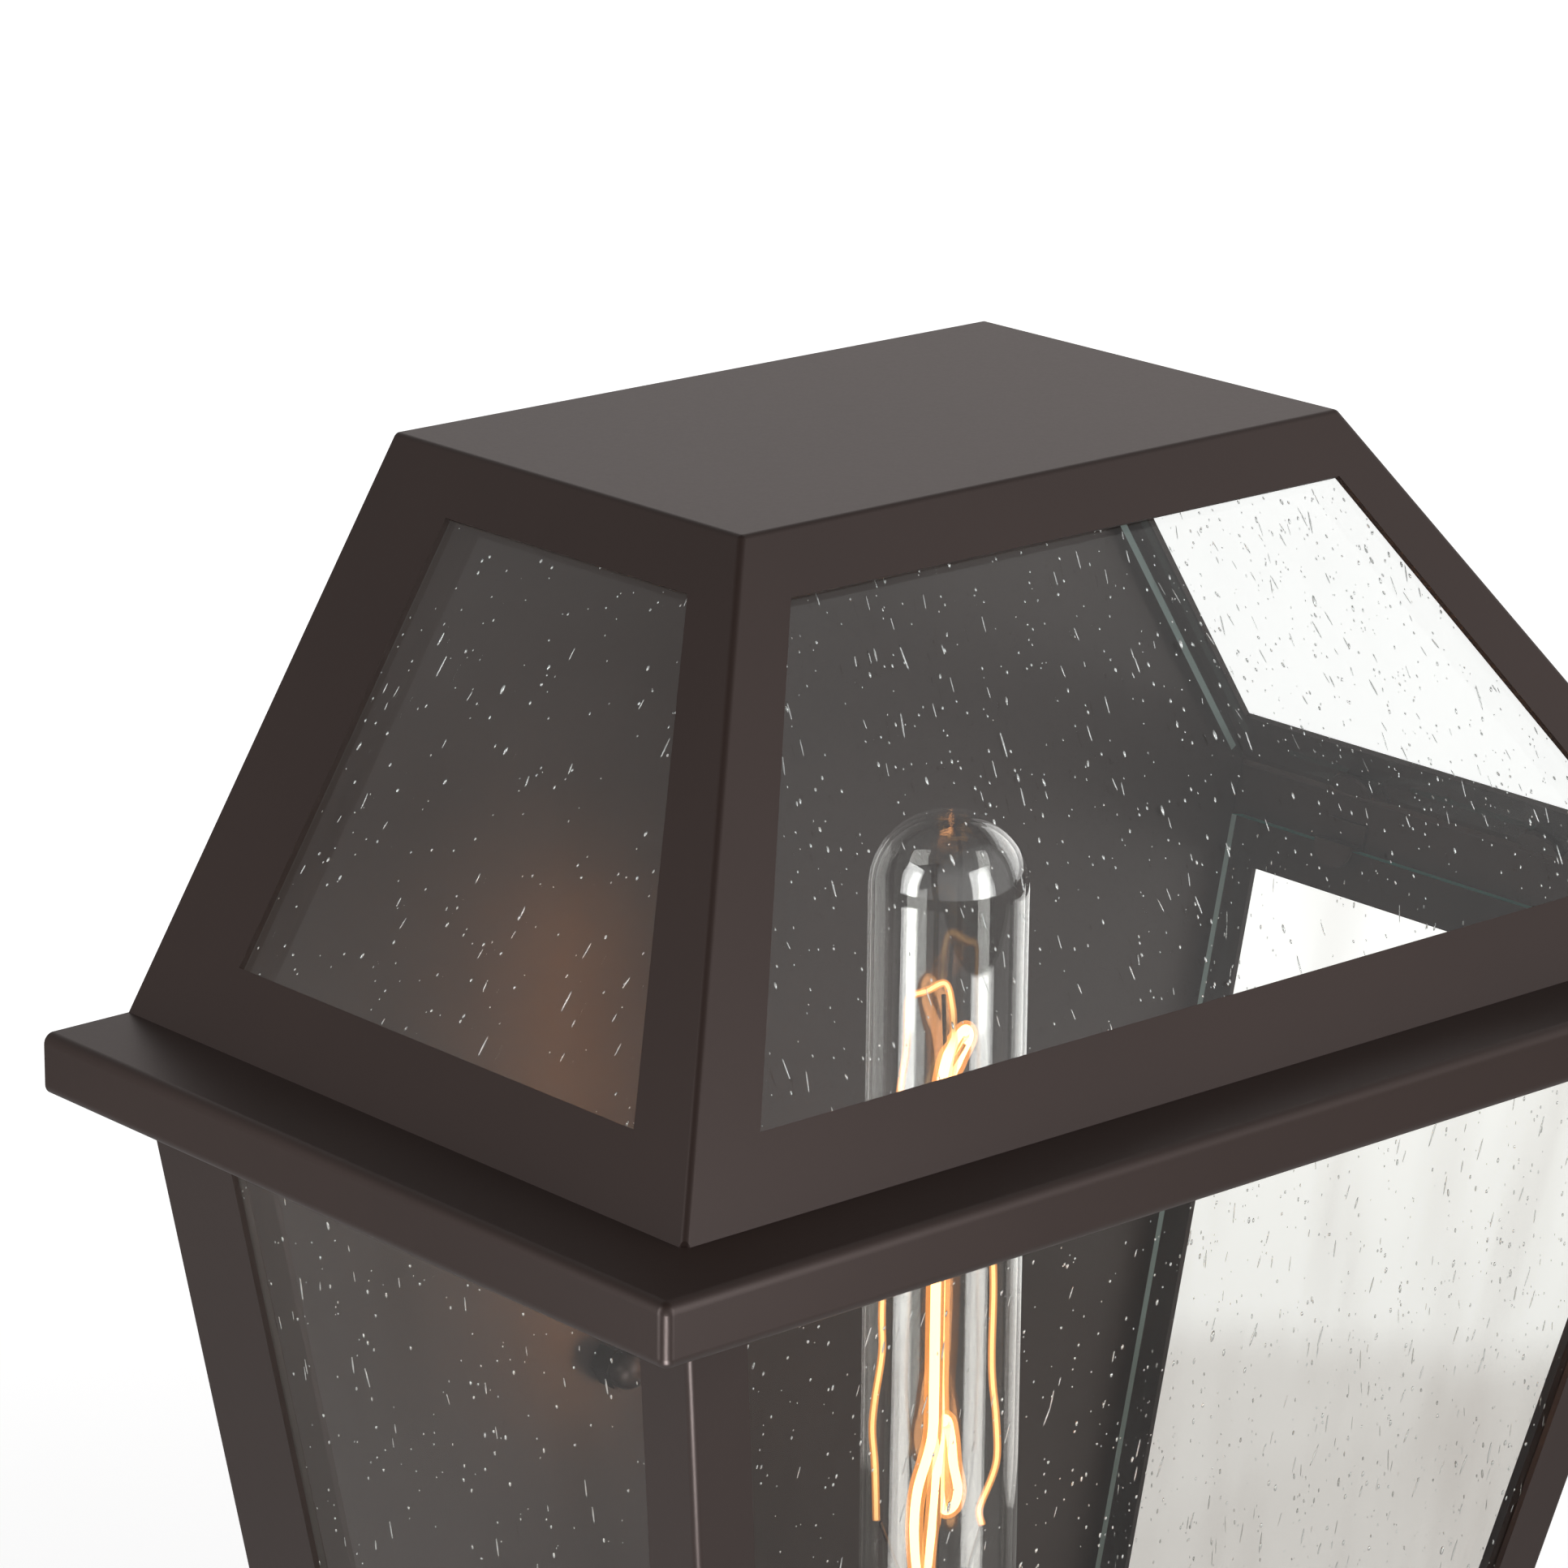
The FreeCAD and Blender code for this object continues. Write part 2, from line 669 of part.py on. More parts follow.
# Mounting bar against the outlet box, with free slots for the box screws
def make_bar():
    body = new_body("mounting_bar")
    outline = new_sketch(body, "bar_outline", "XZ_Plane")
    polygon(outline, [("-bar_length / 2", "-bar_width / 2"), ("bar_length / 2", "-bar_width / 2"),
                      ("bar_length / 2", "bar_width / 2"), ("-bar_length / 2", "bar_width / 2")])
    pad(body, outline, "bar_wall")
    fillet(body, "bar_corner", lambda edge: near(edge.BoundBox.XLength, 0) and near(edge.BoundBox.ZLength, 0), "corners")
    holes = new_sketch(body, "bar_holes", "XZ_Plane", ("0", "0", "bar_wall"))
    circle(holes, "0", "0", "bar_eye")
    circle(holes, "earth_offset", "0", "earth_width + 2 * seat_gap")
    for sign in ("-", ""):
        circle(holes, f"{sign}stud_spacing / 2", "0", "stud_width + 2 * seat_gap")
        slot(holes, f"{sign}box_spacing / 2", "0", "slot_length", "slot_width")
    pocket(body, holes, "2 * bar_wall")
    return node(body)


def make_studs():
    body = new_body("mounting_studs")
    ends = new_sketch(body, "stud_ends", "XZ_Plane")
    for sign in ("-", ""):
        circle(ends, f"{sign}stud_spacing / 2", "0", "stud_width")
    pad(body, ends, "stud_reach")
    return node(body)


# Domed nut drawn on its own seat, then placed on both studs
def make_cap_nuts():
    body = new_body("cap_nut")
    flats = new_sketch(body, "nut_flats", "XZ_Plane", ("0", "0", "pan_depth"))
    hexagon(flats, "nut_across")
    pad(body, flats, "nut_hex_height")
    crown = new_sketch(body, "nut_crown", "XZ_Plane", ("0", "0", "pan_depth + nut_hex_height"))
    circle(crown, "0", "0", "nut_across")
    pad(body, crown, "nut_height - nut_hex_height")
    front = -number("pan_depth + nut_height")
    fillet(body, "nut_dome", lambda edge: near(edge.BoundBox.YMin, front) and near(edge.BoundBox.YLength, 0), "dome")
    bore = new_sketch(body, "nut_bore", "XZ_Plane", ("0", "0", "pan_depth"))
    circle(bore, "0", "0", "stud_width + 2 * seat_gap")
    pocket(body, bore, "stud_reach - pan_depth + seat_gap", reverse=True)
    spots = [(f"{sign}stud_spacing / 2", "0", "0") for sign in ("-", "")]
    return node(copies("cap_nuts", body, spots))


def make_ground_screw():
    body = new_body("ground_screw")
    shank = new_sketch(body, "earth_shank", "XZ_Plane")
    circle(shank, "earth_offset", "0", "earth_width")
    pad(body, shank, "bar_wall + earth_head / 2")
    head = new_sketch(body, "earth_head_outline", "XZ_Plane", ("earth_offset", "0", "bar_wall"))
    hexagon(head, "earth_across")
    pad(body, head, "earth_head")
    return node(body)


# Lamp holder on its bracket
def make_bracket():
    body = new_body("holder_bracket")
    profile = new_sketch(body, "bracket_profile", "YZ_Plane")
    front = "-(lamp_axis + bracket_overhang)"
    polygon(profile, [("-pan_depth", "holder_level - bracket_wall"), (front, "holder_level - bracket_wall"),
                      (front, "holder_level"), ("-(pan_depth + bracket_wall)", "holder_level"),
                      ("-(pan_depth + bracket_wall)", "holder_level + bracket_rise"),
                      ("-pan_depth", "holder_level + bracket_rise")])
    pad(body, profile, "bracket_width", midplane=True)
    front_y = number(front)
    fillet(body, "bracket_width / 2 - bracket_wall", lambda edge: near(edge.BoundBox.XLength, 0) and
           near(edge.BoundBox.YMin, front_y) and near(edge.BoundBox.YMax, front_y), "nose")
    low = number("holder_level - bracket_wall")
    fillet(body, "bracket_bend", lambda edge: near(edge.BoundBox.ZMax, low) and
           near(edge.BoundBox.YMin, -number("pan_depth")), "bend")
    eye = new_sketch(body, "bracket_eye", shift=("0", "0", "holder_level"))
    circle(eye, "0", "-lamp_axis", "nipple_width + 2 * seat_gap")
    pocket(body, eye, "2 * bracket_wall")
    holes = new_sketch(body, "bracket_holes", "XZ_Plane", ("0", "0", "pan_depth + bracket_wall"))
    for sign in ("-", ""):
        circle(holes, f"{sign}rivet_spacing / 2", "holder_level + rivet_level", "rivet_width + 2 * seat_gap")
    pocket(body, holes, "2 * bracket_wall")
    return node(body)


def make_rivets():
    body = new_body("rivet")
    grip_end = "pan_depth + bracket_wall"
    tail = new_sketch(body, "rivet_tail_outline", "XZ_Plane", ("0", "0", "pan_depth - sheet_wall"))
    circle(tail, "0", "0", "rivet_tail")
    pad(body, tail, "rivet_head_height", reverse=True)
    shank = new_sketch(body, "rivet_shank", "XZ_Plane", ("0", "0", "pan_depth - sheet_wall"))
    circle(shank, "0", "0", "rivet_width")
    pad(body, shank, "bracket_wall + sheet_wall")
    head = new_sketch(body, "rivet_head_outline", "XZ_Plane", ("0", "0", grip_end))
    circle(head, "0", "0", "rivet_head")
    pad(body, head, "rivet_head_height")
    front = -number(f"{grip_end} + rivet_head_height")
    fillet(body, "rivet_head_height - seat_gap", lambda edge: near(edge.BoundBox.YMin, front) and
           near(edge.BoundBox.YLength, 0), "dome")
    spot_level = "holder_level + rivet_level"
    links = copies("bracket_rivets", body, [(f"{sign}rivet_spacing / 2", "0", "0") for sign in ("-", "")])
    bind(links, "Placement.Base.z", spot_level)
    doc.recompute()
    return node(links)


def make_holder():
    bore = "(shell_bore + shell_wall + seat_gap)"
    body = lathe("holder_body", [
        ("nipple_width / 2 + seat_gap", "holder_level"), ("holder_foot_width / 2", "holder_level"),
        ("holder_foot_width / 2", "holder_level + holder_step"),
        ("holder_width / 2", "holder_level + holder_step + (holder_width - holder_foot_width) / 2"),
        ("holder_width / 2", "holder_level + holder_height"), (bore, "holder_level + holder_height"),
        (bore, "holder_level + holder_floor"), ("nipple_bore / 2", "holder_level + holder_floor"),
        ("nipple_bore / 2", "holder_level + nipple_grip + seat_gap"),
        ("nipple_width / 2 + seat_gap", "holder_level + nipple_grip + seat_gap")])
    outer = number("holder_width / 2")
    rim = number("holder_level + holder_height")
    fillet(body, "holder_round", lambda edge: near(edge.BoundBox.ZMin, rim) and
           near(edge.BoundBox.XMax, outer), "rim")
    node(body)
    shell_foot = "holder_level + holder_floor"
    node(lathe("holder_shell", [
        ("shell_bore + shell_wall", shell_foot), ("shell_bore + shell_wall", f"{shell_foot} + shell_rise"),
        ("shell_bore", f"{shell_foot} + shell_rise"), ("shell_bore", f"{shell_foot} + shell_wall"),
        ("shell_bore - shell_flange", f"{shell_foot} + shell_wall"), ("shell_bore - shell_flange", shell_foot)]))
    node(lathe("holder_contact", [
        ("0", shell_foot), ("contact_width / 2", shell_foot), ("contact_width / 2", f"{shell_foot} + contact_height / 2"),
        ("contact_width / 4", f"{shell_foot} + contact_height"), ("0", f"{shell_foot} + contact_height")]))
    node(lathe("holder_nipple", [
        ("nipple_bore / 2", "holder_level - nipple_drop"), ("nipple_width / 2", "holder_level - nipple_drop"),
        ("nipple_width / 2", "holder_level + nipple_grip"), ("nipple_bore / 2", "holder_level + nipple_grip")]))


def make_nipple_nut():
    body = new_body("nipple_nut")
    flats = new_sketch(body, "nipple_nut_flats",
                       shift=("0", "-lamp_axis", "holder_level - bracket_wall - nipple_nut_height"))
    hexagon(flats, "nipple_nut_across")
    circle(flats, "0", "0", "nipple_width + 2 * seat_gap")
    pad(body, flats, "nipple_nut_height")
    return node(body)


# Rubber ring in the pan's lead hole, a groove holding the sheet
def make_grommet():
    body = new_body("wire_grommet")
    profile = new_sketch(body, "grommet_profile", "YZ_Plane", ("0", "grommet_level", "0"))
    front = "-(pan_depth + grommet_lip)"
    back = "-(pan_depth - sheet_wall - grommet_lip)"
    polygon(profile, [(front, "grommet_bore / 2"), (front, "grommet_width / 2"), ("-pan_depth", "grommet_width / 2"),
                      ("-pan_depth", "grommet_neck / 2"), ("-(pan_depth - sheet_wall)", "grommet_neck / 2"),
                      ("-(pan_depth - sheet_wall)", "grommet_width / 2"), (back, "grommet_width / 2"),
                      (back, "grommet_bore / 2")])
    turn = body.newObject("PartDesign::Revolution", "grommet_turn")
    turn.Profile = profile
    turn.ReferenceAxis = (profile, ["H_Axis"])
    doc.recompute()
    return node(body)


# Inner leads: down through the nipple, back through the grommet and up behind the pan
def make_leads():
    make_lead("lead_black", number("-lead_spacing / 2"))
    make_lead("lead_white", number("lead_spacing / 2"))


def make_lead(label, x):
    bend = number("lead_bend")
    turn_up = number("pan_depth / 3")
    axis_y = -number("lamp_axis")
    back_y = (turn_up - number("pan_depth")) / 2
    start = number("holder_level + nipple_grip")
    run = number("grommet_level")
    end = -number("lead_end_drop")
    cut = 1 - math.sqrt(0.5)

    def at(y, z):
        return FreeCAD.Vector(x, y, z)

    def line(a, b):
        return Part.LineSegment(a, b).toShape()

    low = (at(axis_y, run + bend), at(axis_y + bend * cut, run + bend * cut), at(axis_y + bend, run))
    high = (at(back_y - turn_up, run), at(back_y - turn_up * cut, run + turn_up * cut), at(back_y, run + turn_up))
    edges = [line(at(axis_y, start), low[0]), Part.Arc(*low).toShape(), line(low[2], high[0]),
             Part.Arc(*high).toShape(), line(high[2], at(back_y, end))]
    lead = doc.addObject("Part::Feature", label)
    lead.Label = label
    lead.Shape = wire(edges, number("lead_width"))
    return node(lead)


# Tubular filament lamp, heights counted from its lower tip
def make_lamp():
    def up(height):
        return f"lamp_foot + {height}"

    node(lathe("bulb_contact", [
        ("0", up("0")), ("tip_width / 4", up("0")), ("tip_width / 2", up("tip_height / 2")),
        ("tip_width / 2", up("tip_height")), ("0", up("tip_height"))]))
    node(lathe("bulb_insulator", [
        ("0", up("tip_height")), ("tip_width / 2 + seat_gap", up("tip_height")), ("insulator_width / 2", up("cap_start")),
        ("insulator_width / 2", up("insulator_end")), ("0", up("insulator_end"))]))
    cap_bore = "(cap_width / 2 - cap_wall)"
    mouth = "(insulator_width / 2 + seat_gap)"
    node(lathe("bulb_cap", [
        (mouth, up("cap_start")), (f"{mouth} + cap_wall", up("cap_start")),
        ("cap_width / 2", up("cap_start + cap_bevel")), ("cap_width / 2", up("cap_end")), (cap_bore, up("cap_end")),
        (cap_bore, up("cap_start + cap_bevel")), (mouth, up("cap_start + cap_wall"))]))
    make_bulb_glass(up)
    rod = "stem_rod_width / 2"
    flare = "(neck_width / 2 - lamp_wall - seat_gap)"
    node(lathe("bulb_stem", [
        ("0", up("neck_start")), (flare, up("neck_start")), (flare, up("neck_start + lamp_wall")),
        (rod, up("stem_flare_end")), (rod, up("stem_end")), ("0", up("stem_end"))]))
    make_filament()


def make_bulb_glass(up):
    body = lathe("bulb_glass", [
        ("0", up("neck_start")), ("neck_width / 2", up("neck_start")), ("neck_width / 2", up("neck_end")),
        ("lamp_width / 2", up("shoulder_end")), ("lamp_width / 2", up("lamp_length")), ("0", up("lamp_length"))])
    levels = [number(up("neck_end")), number(up("shoulder_end"))]
    fillet(body, "neck_round", lambda edge: any(at_height(edge, level) for level in levels), "neck")
    tip = number(up("lamp_length"))
    fillet(body, "lamp_width / 2 - lamp_wall / 2", lambda edge: at_height(edge, tip), "dome")
    thin_wall(body, "lamp_wall", lambda box: at_level(box, up("neck_start")))
    return node(body)


def at_height(edge, level):
    return near(edge.BoundBox.ZMin, level) and near(edge.BoundBox.ZMax, level)


# A place in the lamp: across and along the filament's own plane, and up from the lamp's lower tip
def lamp_spot(across, depth, height):
    turn = math.radians(number("filament_turn"))
    return FreeCAD.Vector(across * math.cos(turn) - depth * math.sin(turn),
                          across * math.sin(turn) + depth * math.cos(turn) - number("lamp_axis"),
                          number("lamp_foot") + height)


# One wire: up the left side, over a hook, down and up the middle, over a hairpin bend and down the right side
def make_filament():
    side = number("filament_side")
    sway = number("filament_sway")
    depth = number("filament_depth")
    hook = number("filament_hook")
    hairpin = number("filament_hairpin")
    middle = number("filament_middle")
    foot = number("filament_foot")
    low = number("filament_low")
    step = (middle - foot) / 2
    left = [lamp_spot(-side, 0, foot), lamp_spot(-1.1 * side, 0, foot + step), lamp_spot(-side, 0, middle),
            lamp_spot(-0.65 * side, 0, hook - sway)]
    front = [lamp_spot(side / 8, -depth, hairpin), lamp_spot(0, -depth, middle), lamp_spot(-sway, -depth, foot)]
    back = [lamp_spot(0, depth, low + 2 * sway), lamp_spot(sway, depth, foot + sway), lamp_spot(0, depth, middle),
            lamp_spot(0, depth, hairpin - 2 * sway)]
    right = [lamp_spot(side / 2, 0, hairpin - 2 * sway), lamp_spot(0.85 * side, 0, middle),
             lamp_spot(side, 0, foot + step), lamp_spot(0.75 * side, 0, foot)]
    over_hook = lamp_spot(0, 0, hook)
    low_bend = lamp_spot(-0.8 * sway, 0, low)
    over_hairpin = lamp_spot(side / 3, depth / 2, hairpin)
    route = [*left, over_hook, *front, low_bend, *back, over_hairpin, *right]
    radius = number("filament_width / 2")
    runs = [Part.makeCylinder(radius, (b - a).Length, a, b - a) for a, b in zip(route, route[1:])]
    rounds = [Part.makeSphere(radius, corner) for corner in route[1:-1]]
    strands = doc.addObject("Part::Feature", "filament")
    strands.Label = "filament"
    strands.Shape = runs[0].multiFuse([*runs[1:], *rounds])
    node(strands)
    bends = [(left[-1], over_hook, front[0]), (front[-1], low_bend, back[0]), (back[-1], over_hairpin, right[0])]
    make_supports((left[0], right[-1]), bends)


# Two lead-in wires from the stem to the filament's ends, and a post with an arm that reaches into each bend
def make_supports(ends, bends):
    width = number("support_width")
    clear = number("(filament_width + support_width) / 2 + seat_gap")
    stem_end = lamp_spot(0, 0, number("stem_end + seat_gap"))
    post_end = lamp_spot(0, 0, number("filament_hairpin - 2 * filament_sway"))
    up = FreeCAD.Vector(0, 0, 1)
    solids = []
    for end in ends:
        away = FreeCAD.Vector(end.x - stem_end.x, end.y - stem_end.y, 0).normalize()
        foot = stem_end + away * number("stem_rod_width / 2 - support_width") + up * (width / 2)
        solids.append(wire([Part.LineSegment(foot, end - up * clear).toShape()], width))
    post = Part.makeCylinder(width / 2, post_end.z - stem_end.z, stem_end)
    for before, bend, after in bends:
        a = (before - bend).normalize()
        b = (after - bend).normalize()
        half_sine = (a - b).Length / 2
        hold = bend + (a + b).normalize() * (clear / half_sine)
        root = FreeCAD.Vector(post_end.x, post_end.y, min(post_end.z - width, hold.z))
        post = post.fuse(wire([Part.LineSegment(root, hold).toShape()], width))
    supports = doc.addObject("Part::Feature", "filament_supports")
    supports.Label = "filament_supports"
    supports.Shape = Part.makeCompound([*solids, post])
    return node(supports)


make_roof()
make_collar()
make_cage()
make_glazing()
make_pan()
make_gasket()
make_bar()
make_studs()
make_cap_nuts()
make_ground_screw()
make_bracket()
make_rivets()
make_holder()
make_nipple_nut()
make_grommet()
make_leads()
make_lamp()
doc.recompute()

for thing in doc.Objects:
    if {"Invalid", "Error"} & set(thing.State):
        raise RuntimeError(f"{thing.Label} has state {thing.State}")
os.makedirs("parts", exist_ok=True)
for thing in NODES:
    if thing.Shape.isNull() or not thing.Shape.isValid():
        raise RuntimeError(f"{thing.Label} has no valid shape")
    thing.Shape.exportStep(f"parts/{thing.Label}.step")
    print(thing.Label, len(thing.Shape.Solids), round(thing.Shape.Volume, 1))
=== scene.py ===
import json
import math
import bpy
import numpy as np
from mathutils import Matrix, Vector


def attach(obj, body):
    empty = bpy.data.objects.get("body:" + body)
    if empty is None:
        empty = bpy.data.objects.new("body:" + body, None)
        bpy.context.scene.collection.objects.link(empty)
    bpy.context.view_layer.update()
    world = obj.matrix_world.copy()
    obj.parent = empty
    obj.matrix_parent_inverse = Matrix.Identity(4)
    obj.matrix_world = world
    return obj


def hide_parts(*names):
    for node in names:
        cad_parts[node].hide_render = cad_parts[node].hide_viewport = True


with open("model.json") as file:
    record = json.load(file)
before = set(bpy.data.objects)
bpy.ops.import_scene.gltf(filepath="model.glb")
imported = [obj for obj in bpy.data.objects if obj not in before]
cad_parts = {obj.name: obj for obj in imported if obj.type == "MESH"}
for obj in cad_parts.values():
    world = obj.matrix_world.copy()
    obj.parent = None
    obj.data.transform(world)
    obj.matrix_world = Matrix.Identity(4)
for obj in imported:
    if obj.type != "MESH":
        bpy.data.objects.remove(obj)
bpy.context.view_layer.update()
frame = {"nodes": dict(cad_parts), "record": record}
nodes = frame["nodes"]
scene = bpy.context.scene
scene.view_settings.view_transform = "Standard"
print("frame loaded:", len(nodes), "nodes")


# camera, solved from the photo's straight edges
cameraLook = {
    "eye": (-0.7532, -0.8783, 0.4562),
    "target": (0.0, -0.0242, 0.1103),
    "rollDegrees": 0.547,
    "lens": 145.2,  # mm on a 36 mm sensor
    "sensor": 36,
    "farthest": 50,
}


def makeCamera(look):
    eye = Vector(look["eye"])
    forward = (Vector(look["target"]) - eye).normalized()
    levelRight = forward.cross(Vector((0, 0, 1))).normalized()
    levelUp = levelRight.cross(forward)
    roll = math.radians(look["rollDegrees"])
    right = levelRight * math.cos(roll) + levelUp * math.sin(roll)
    up = levelUp * math.cos(roll) - levelRight * math.sin(roll)
    camera = bpy.data.objects.new("camera", bpy.data.cameras.new("camera"))
    camera.data.lens = look["lens"]
    camera.data.sensor_width = look["sensor"]
    camera.data.clip_end = look["farthest"]
    turn = Matrix((right, up, -forward)).transposed()
    camera.matrix_world = Matrix.Translation(eye) @ turn.to_4x4()
    scene.collection.objects.link(camera)
    scene.camera = camera


makeCamera(cameraLook)
print("camera set")


# a shader socket with arithmetic: each expression adds its Math nodes
class Wire:
    def __init__(self, tree, socket=None):
        self.tree = tree
        self.socket = socket

    def add(self, kind, settings=None, inputs=None, out=0):  # any node: settings first, then sockets
        node = self.tree.nodes.new("ShaderNode" + kind)
        for key, value in (settings or {}).items():
            setattr(node, key, value)
        for key, value in (inputs or {}).items():
            socket = node.inputs[key]
            if isinstance(value, Wire):
                self.tree.links.new(value.socket, socket)
            elif socket.type == "RGBA":
                socket.default_value = (*value, 1)
            else:
                socket.default_value = value
        return Wire(self.tree, node.outputs[out] if node.outputs else None)

    def maths(self, operation, first, second=0.0):
        return self.add("Math", {"operation": operation}, {0: first, 1: second})

    def __add__(self, other):
        return self.maths("ADD", self, other)

    def __radd__(self, other):
        return self.maths("ADD", other, self)

    def __sub__(self, other):
        return self.maths("SUBTRACT", self, other)

    def __rsub__(self, other):
        return self.maths("SUBTRACT", other, self)

    def __mul__(self, other):
        return self.maths("MULTIPLY", self, other)

    def __rmul__(self, other):
        return self.maths("MULTIPLY", other, self)

    def __pow__(self, other):
        return self.maths("POWER", self, other)

    def step(self, low, high):  # 0 at low, 1 at high, smooth between
        return self.add("MapRange", {"interpolation_type": "SMOOTHSTEP"},
                        {"Value": self, "From Min": low, "From Max": high})

    def between(self, first, second):  # two colours mixed by this value
        return self.add("Mix", {"data_type": "RGBA"}, {0: self, 6: first, 7: second}, out=2)

    def noise(self, scale, detail=2.0, stretch=(1, 1, 1)):  # noise at this place
        placed = self.add("Mapping", {}, {"Vector": self, "Scale": stretch})
        return self.add("TexNoise", {}, {"Vector": placed, "Scale": scale, "Detail": detail})

    def blend(self, first, second):  # two shaders mixed by this value
        return self.add("MixShader", {}, {0: self, 1: first, 2: second})

    def along(self, axis):  # how far this vector runs along an axis
        return self.add("VectorMath", {"operation": "DOT_PRODUCT"}, {0: self, 1: axis}, out="Value")

    def bump(self, strength, distance):
        return self.add("Bump", {}, {"Height": self, "Strength": strength, "Distance": distance})

    def finish(self):
        self.add("OutputMaterial", {}, {"Surface": self})


def newMaterial(name):
    material = bpy.data.materials.new(name)
    material.use_nodes = True
    material.node_tree.nodes.clear()
    start = Wire(material.node_tree)
    return material, start, start.add("TexCoord", out="Object")


# satin coat: slow tone changes, a fine grain and a faint orange peel
paintLook = {
    "dark": (0.0200, 0.0114, 0.0090),
    "light": (0.0250, 0.0146, 0.0116),
    "cloudScale": 14,
    "grainScale": 1500,
    "peelScale": 380,
    "cloudShare": 0.8,  # the rest of the tone is grain
    "toneRange": (0.3, 0.7),
    "grainRelief": 0.05,  # beside the peel's 1
    "relief": (0.035, 0.0003),  # bump strength, and depth in metres
    "roughness": 0.38,
    "roughnessSpread": 0.05,
    "mirror": 0.50,
    "mirrorTone": (1.0, 0.84, 0.81),
}
panLook = dict(paintLook, roughness=0.34, mirror=0.95, mirrorTone=(1.0, 0.90, 0.87))  # a smoother sheet


def satinPaint(name, look):
    material, start, place = newMaterial(name)
    cloud = place.noise(look["cloudScale"], 3)
    grain = place.noise(look["grainScale"], 2)
    peel = place.noise(look["peelScale"], 1)
    mixed = cloud * look["cloudShare"] + grain * (1 - look["cloudShare"])
    tone = mixed.step(*look["toneRange"]).between(look["dark"], look["light"])
    normal = (peel + grain * look["grainRelief"]).bump(*look["relief"])
    roughness = grain * look["roughnessSpread"] + (look["roughness"] - look["roughnessSpread"] / 2)
    start.add("BsdfPrincipled", {}, {
        "Base Color": tone, "Roughness": roughness, "Normal": normal,
        "Specular IOR Level": look["mirror"], "Specular Tint": look["mirrorTone"]}).finish()
    return material


# plain metals, plastics and rubbers: a base tone with fine scratches or specks
solidLooks = {
    "zinc_steel": {"dark": (0.42, 0.42, 0.40), "light": (0.66, 0.65, 0.62), "roughness": 0.36,
                   "metallic": 1.0, "scale": 900, "stretch": (1, 1, 0.1), "relief": 0.1},
    "green_steel": {"dark": (0.02, 0.15, 0.05), "light": (0.04, 0.27, 0.10), "roughness": 0.38,
                    "metallic": 0.6, "scale": 700, "stretch": (1, 1, 1), "relief": 0.1},
    "foam_rubber": {"dark": (0.010, 0.010, 0.010), "light": (0.030, 0.030, 0.029), "roughness": 0.85,
                    "metallic": 0.0, "scale": 1200, "stretch": (1, 1, 1), "relief": 0.6},
    "porcelain": {"dark": (0.74, 0.73, 0.69), "light": (0.84, 0.83, 0.80), "roughness": 0.16,
                  "metallic": 0.0, "scale": 90, "stretch": (1, 1, 1), "relief": 0.02},
    "brass": {"dark": (0.50, 0.34, 0.13), "light": (0.72, 0.52, 0.23), "roughness": 0.30,
              "metallic": 1.0, "scale": 800, "stretch": (1, 1, 0.1), "relief": 0.1},
    "black_lead": {"dark": (0.012, 0.012, 0.012), "light": (0.030, 0.030, 0.030), "roughness": 0.45,
                   "metallic": 0.0, "scale": 500, "stretch": (1, 1, 1), "relief": 0.1},
    "white_lead": {"dark": (0.62, 0.61, 0.58), "light": (0.74, 0.73, 0.70), "roughness": 0.45,
                   "metallic": 0.0, "scale": 500, "stretch": (1, 1, 1), "relief": 0.1},
    "nickel_cap": {"dark": (0.46, 0.43, 0.38), "light": (0.70, 0.67, 0.61), "roughness": 0.28,
                   "metallic": 1.0, "scale": 900, "stretch": (1, 1, 0.1), "relief": 0.1},
    "black_glass": {"dark": (0.008, 0.008, 0.010), "light": (0.022, 0.022, 0.026), "roughness": 0.14,
                    "metallic": 0.0, "scale": 200, "stretch": (1, 1, 1), "relief": 0.03},
    "support_wire": {"dark": (0.04, 0.038, 0.035), "light": (0.10, 0.095, 0.09), "roughness": 0.42,
                     "metallic": 1.0, "scale": 1500, "stretch": (1, 1, 1), "relief": 0.1},
}
solidGrain = {
    "cloudSize": 8,  # clouds are this many times as wide as the grain
    "toneRange": (0.3, 0.7),
    "roughnessSpread": 0.16,
    "reliefDepth": 0.0002,  # metres
}


def solidFinish(name, look, spread):
    material, start, place = newMaterial(name)
    cloud = place.noise(look["scale"] / spread["cloudSize"], 3)
    grain = place.noise(look["scale"], 3, look["stretch"])
    mixed = cloud * 0.5 + grain * 0.5
    tone = mixed.step(*spread["toneRange"]).between(look["dark"], look["light"])
    roughness = grain * spread["roughnessSpread"] + (look["roughness"] - spread["roughnessSpread"] / 2)
    start.add("BsdfPrincipled", {}, {
        "Base Color": tone, "Roughness": roughness, "Metallic": look["metallic"],
        "Normal": grain.bump(look["relief"], spread["reliefDepth"])}).finish()
    return material


